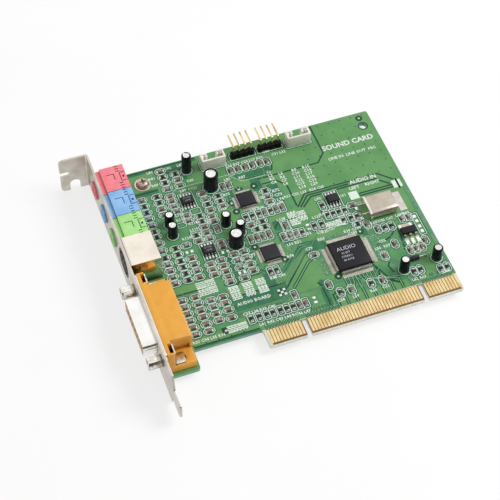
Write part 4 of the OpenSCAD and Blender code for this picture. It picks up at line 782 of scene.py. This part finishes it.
def makeInk(aimingMarks):
    # White screen print: outlines, plain reference labels and plain words
    look = {"line": 0.3, "shadow": 1.15, "roundMargin": 0.45, "rowText": 1.8, "columnText": 2.0,
            "columnStep": 0.95, "uprightText": 1.5, "uprightStep": 1.3, "square": 1.0, "squareStep": 1.1,
            "aimingGround": 1.55, "toolingRing": 1.9, "toolingLine": 0.5}
    outlines = []
    for chip in chips:
        # Upright chips in the tight rows have narrower, squarer outlines
        x, y, turn = chip["x"], chip["y"], chip["turn"]
        tight = turn and not (y > 85 or 28 < x < 51 and y < 37 or x > 52)
        outlines.append(outline(x, y, 4.7 if turn else 4.4, 2.55 if tight else 2.95, turn, 0.4 if tight else 0.95))
    for can in solidBoxes("capacitor_cans"):
        outlines.append(ring(can["x"], can["y"], can["w"] / 2 + look["roundMargin"], 32))
    for chip in smallChips:
        outlines.append((False, [(chip["x"] + side * 3.0, chip["y"] + 4.3 * end) for side, end in
                                 ((-1, -1), (-1, 1), (1, 1), (1, -1))]))
    for x, y, w, d in [(7.3, 91.9, 10.9, 5.0), (44.7, 91.9, 10.9, 5.0), (20.5, 92.7, 11.0, 3.6),
                       (32.4, 92.7, 11.0, 3.6), (74.7, 35.3, 2.6, 11.2), (24.3, 50, 3.4, 9.6),
                       (-7.2, 70.9, 4.2, 2.9), (-10.6, 60, 4.2, 2.6), (-14.6, 65.9, 3.4, 2.4)]:
        outlines.append(outline(x, y, w, d, 0, 0.3))
    flatLines("outlineShadows", outlines, look["shadow"], layer["outlineShadow"], "beside")
    flatLines("printedOutlines", outlines, look["line"], layer["ink"], "outlineInk")
    # Labels as [x, y, count]: a row, unless "col" makes it a column or "up" three upright rows
    labels = [
        (27.6, 80.2, 1), (27.6, 78.2, 3, "col"), (32, 77.8, 4, "col"), (37.8, 77.8, 6, "col"),
        (43, 77.8, 6, "col"), (32, 65.7, 2), (37.2, 65.7, 1), (43, 65.7, 2), (20, 88.7, 5), (35, 88.6, 2),
        (-22, 11.3, 4), (0.2, 17.2, 4), (6, 10.8, 5), (15.5, 10.6, 2), (12.5, 29.6, 2), (24.3, 42.6, 2),
        (31, 45.2, 1), (36, 44.4, 1), (35, 40.9, 1), (57.5, 32, 1), (54.5, 29.2, 1), (58.4, 29.2, 1),
        (31.5, 11.1, 1), (37.5, 10.9, 1), (45, 11.1, 1), (50.2, 11.2, 1), (64, 10.6, 2), (75.3, 10.2, 1),
        (61.5, 41.6, 3), (70.5, 41.9, 2), (32.2, 54.6, 2, "up"), (26.9, 70.2, 1, "col"), (27.1, 67.8, 1, "col"),
        (27.1, 65.3, 1, "col"), (7.4, 74.8, 1), (20.8, 68.6, 1), (6.6, 42.6, 1), (20.6, 37.2, 1),
        (28.8, 38.1, 1), (-18.6, 96, 1), (-18.7, 92.6, 1), (-11, 95.8, 1), (-5.6, 95.9, 1), (-18.6, 88.9, 1),
        (-4.2, 86.6, 1), (10.2, 82.3, 1), (16.3, 81.3, 1), (30.2, 91, 1), (-8.6, 82.6, 1), (-8.5, 56.2, 1),
        (51.5, 58.6, 1), (41.4, 60.4, 1), (55.8, 52.8, 1), (60.6, 41.6, 1), (16.5, 63.9, 2), (24.5, 63.7, 2),
        (48.5, 41.2, 2), (53.4, 47.4, 1), (40.7, 52.4, 1), (48, 39.6, 1), (-5.6, 27.9, 2, "up"),
        (0, 27.9, 2, "up"), (5.3, 27.9, 2, "up"), (-17, 33.9, 2, "up"), (-13.3, 33.9, 2, "up"),
        (-12.2, 12.6, 1, "up"), (-8.2, 12.6, 1, "up"), (-14, 71.2, 1), (-14.2, 68.6, 1), (-10.2, 65.4, 1),
        (-10.8, 62.2, 1), (-15, 59, 1), (-4.6, 82.4, 1), (3.3, 68.2, 1), (-3.2, 63.6, 1), (8, 60.4, 1),
        (37.4, 52, 1), (37.6, 44, 1), (40.4, 44.4, 1), (23.6, 55.6, 1), (28.6, 54.4, 2, "up"),
        (41.6, 46.4, 1, "up"), (45.6, 46.4, 1, "up")]
    number = 1
    blocks = []
    for x, y, count, *kind in labels:
        names = ["RCL"[(number + i) % 3] + str(number + i) for i in range(count)]
        number += count
        if "col" in kind:
            y -= look["columnStep"] * (count - 1)
            blocks.append(textBlock("\n".join(names), x, y, look["columnText"], gap=0.95))
        elif "up" in kind:
            for step in (-look["uprightStep"], 0, look["uprightStep"]):
                blocks.append(textBlock(" ".join(names), x + step, y, look["uprightText"], 90, bold=0.1))
        else:
            blocks.append(textBlock(" ".join(names), x, y, look["rowText"]))
    words = [("AUDIO BOARD", 0, 22.2, 2.0), ("SOUND CARD", 64.3, 84.3, 3.5),
             ("LINE IN  LINE OUT  MIC", 63.9, 78.3, 2.0), ("AUDIO IN", 62.6, 63.9, 2.6),
             ("LEFT    RIGHT", 62, 60.9, 2.2)]
    blocks += [textBlock(*word) for word in words]
    finishPiece(joinAll(blocks), "printedLabels", "ink")
    # Filled blocks beside the crystal and a small chequer
    squares = [box(54, 55.3, 57.8, 59.3), box(73, 55.3, 74.8, 59.3), box(75.7, 55.3, 76.8, 59.3)]
    for i, j in [(0, 0), (0, 2), (1, 1), (2, 0), (2, 2)]:
        x, y = 9.9 + i * look["squareStep"], 20.6 + j * look["squareStep"]
        squares.append(box(x, y, x + look["square"], y + look["square"]))
    flatPatches("printedSquares", squares, layer["ink"], "ink")
    flatPatches("squareGround", [box(9.6, 20.3, 14.1, 24.2)], layer["outlineShadow"], "moat")
    flatPatches("fuseBar", [box(74.95, 54.6, 75.5, 59.9)], layer["fuseBar"], "black")
    # Bare ground round each aiming dot; the first one has a square
    dark = [ring(x, y, look["aimingGround"], 20)[1] for x, y in aimingMarks[1:]]
    dark.append(box(-16.3, 11.2, -13.3, 14.2))
    flatPatches("aimingGrounds", dark, layer["aiming"], "moat")
    flatLines("toolingRing", [ring(74, 90.9, look["toolingRing"])], look["toolingLine"], layer["aiming"], "moat")


def makeChipMarks():
    # Grey laser marks on the chips: plain words, as [chip, word, size, x, y]
    look = {"lift": 0.015, "title": 2.5, "line": 1.35, "small": 1.3}
    clear = [(mainChip, "AUDIO", look["title"], -0.6, 2.5), (mainChip, "32 BIT", look["line"], -1.6, 0.3),
             (mainChip, "STEREO", look["line"], -1.6, -1.4), (mainChip, "48 KHZ", look["line"], -1.6, -3.1)]
    faint = [(chip, word, look["small"], 0, y)
             for chip in smallChips[:2] for word, y in (("DUAL", 0.75), ("AMP", -0.65))]
    for name, finish, words in (("chipMarks", "laserMark", clear), ("amplifierMarks", "faintMark", faint)):
        blocks = []
        for chip, word, size, x, y in words:
            block = textBlock(word, chip["x"] + x, chip["y"] + y, size, bold=0.0)
            block.location.z = at(0, 0, chip["high"] + look["lift"]).z
            makeActive(block)
            applyPlace()
            blocks.append(block)
        finishPiece(joinAll(blocks), name, finish)


def makeSolderSide():
    # The underside: copper rings round each soldered lead, tracks between them and tented vias
    look = {"ring": 0.98, "ringDepth": 0.07, "track": 0.24, "trackDepth": 0.04, "moat": 0.55, "moatDepth": 0.025,
            "via": 0.3, "viaDepth": 0.06, "longRuns": 18, "runStep": 0.9}
    face = -card["thickness"]
    joints = solidBoxes("solder_joints")
    rings = [placed(joint["x"], joint["y"], face - look["ringDepth"]) for joint in joints]
    placeCopies("solderRings", discModel(look["ring"], 0.06, 18), rings, "tin")
    paths = []
    vias = []
    for joint in joints:
        other = random.choice(nearest(joint, joints)[2:8])
        paths.append(bent(joint["x"], joint["y"], other["x"], other["y"], random.random() < 0.5))
    for chip in chips:
        x, y = chip["x"] + random.uniform(-2, 2), chip["y"] + random.uniform(-1, 1)
        end = (min(max(x + random.uniform(-14, 14), -27), 77), min(max(y + random.uniform(-9, 9), 11), 96))
        paths.append(bent(x, y, end[0], end[1], random.random() < 0.5))
        vias += [(x, y), end]
    # Long runs beside each other
    for i in range(look["longRuns"]):
        x, rise = i * look["runStep"], i * 0.6
        paths.append([(24 + x, 8.6), (24 + x, 14 + rise), (6 + x, 32 + rise), (6 + x, 44)])
    flatLines("underMoats", openPaths(paths), look["moat"], face - look["moatDepth"], "gap")
    flatLines("underTracks", openPaths(paths), look["track"], face - look["trackDepth"], "track")
    placeCopies("underVias", discModel(look["via"], 0.06, 10),
                [placed(x, y, face - look["viaDepth"]) for x, y in vias], "viaRing")


aimingMarks = makePads()
makeFillets()
makeGaps()
makeTracks()
makeInk(aimingMarks)
makeChipMarks()
makeSolderSide()
print("artwork made")


def seenDirectly(tree):
    # 1 where the camera, a mirror image or glass shows the surface, which can be plain white there
    path = addNode(tree, "LightPath")
    seen = path.outputs["Is Camera Ray"]
    for ray in ("Is Transmission Ray", "Is Glossy Ray"):
        seen = addNode(tree, "Math", {"operation": "MAXIMUM"}, {0: seen, 1: path.outputs[ray]}).outputs[0]
    return seen


def makeFloor():
    look = {"size": 3.0, "below": 0.05, "colour": "#ffffff", "shade": "#fbfbfb", "drift": 60.0, "roughness": 0.9,
            "ownWhite": 0.72}
    deselectAll()
    bpy.ops.mesh.primitive_plane_add(size=look["size"], location=(0, 0.05, cadBounds[0][2] - mm(look["below"])))
    floor = bpy.context.object
    floor.name = "studioFloor"
    material, tree, shader = newMaterial("matteWhiteCard", look["colour"], look["roughness"],
                                         {"Specular IOR Level": 0.0})
    connect(tree, shader, {"Base Color": driftingColour(tree, look["drift"], look["shade"], look["colour"])})
    # The sound card lies on lit white paper: seen directly, most of its white is the paper's own
    share = addNode(tree, "Math", {"operation": "MULTIPLY", 1: look["ownWhite"]}, {0: seenDirectly(tree)})
    glow = addNode(tree, "Emission", {"Color": (1, 1, 1, 1), "Strength": 1.0})
    both = addNode(tree, "MixShader", links={0: share.outputs[0], 1: shader.outputs[0], 2: glow.outputs[0]})
    connect(tree, tree.nodes["Material Output"], {"Surface": both.outputs[0]})
    floor.data.materials.append(material)


def makeFlag():
    # A dark card in front, out of the picture: bright metal mirrors it and upright faces get less light
    look = {"place": (-0.1, -0.7, 0.3), "size": (2.4, 0.56), "colour": "#3a3a3c", "roughness": 0.9}
    deselectAll()
    bpy.ops.mesh.primitive_plane_add(size=1, location=look["place"], rotation=(math.radians(90), 0, 0))
    flag = bpy.context.object
    flag.name = "darkCard"
    flag.scale = look["size"] + (1,)
    flag.visible_camera = flag.visible_shadow = flag.visible_transmission = False
    flag.data.materials.append(newMaterial("feltCard", look["colour"], look["roughness"])[0])


def makeLight():
    # One softbox, high on the right
    look = {"place": (0.75, -0.05, 0.8), "target": (0, 0.05, 0), "size": (0.5, 0.5), "power": 8.0}
    lamp = bpy.data.lights.new("keySoftbox", "AREA")
    lamp.shape = "RECTANGLE"
    lamp.size, lamp.size_y = look["size"]
    lamp.energy = look["power"]
    holder = bpy.data.objects.new("keySoftbox", lamp)
    holder.location = look["place"]
    aim = Vector(look["target"]) - Vector(look["place"])
    holder.rotation_euler = aim.to_track_quat("-Z", "Y").to_euler()
    bpy.context.collection.objects.link(holder)


def makeWorld():
    look = {"onObject": 0.62, "seen": 1.0}
    world = bpy.data.worlds.new("whiteStudio")
    world.use_nodes = True
    bpy.context.scene.world = world
    tree = world.node_tree
    strength = addNode(tree, "MapRange", {"To Min": look["onObject"], "To Max": look["seen"]},
                       {"Value": seenDirectly(tree)})
    background = tree.nodes["Background"]
    background.inputs["Color"].default_value = (1, 1, 1, 1)
    connect(tree, background, {"Strength": strength.outputs[0]})


def makeCamera():
    # The photograph's camera, solved from the card's standard sizes
    look = {"place": (-0.150765, -0.263104, 0.442437), "right": (0.93935, -0.34271, 0.01319),
            "forward": (0.21525, 0.55916, -0.80063), "lens": 101.006, "sensor": 36, "nearest": 0.01}
    data = bpy.data.cameras.new("photoCamera")
    data.lens = look["lens"]
    data.sensor_width = look["sensor"]
    data.clip_start = look["nearest"]
    camera = bpy.data.objects.new("photoCamera", data)
    back = -Vector(look["forward"]).normalized()
    right = Vector(look["right"])
    right = (right - back * right.dot(back)).normalized()
    up = back.cross(right)
    camera.matrix_world = Matrix.Translation(look["place"]) @ Matrix((right, up, back)).transposed().to_4x4()
    bpy.context.collection.objects.link(camera)
    bpy.context.scene.camera = camera


makeFloor()
makeFlag()
makeWorld()
makeLight()
makeCamera()
bpy.context.scene.view_settings.view_transform = "Standard"
print("stage made")
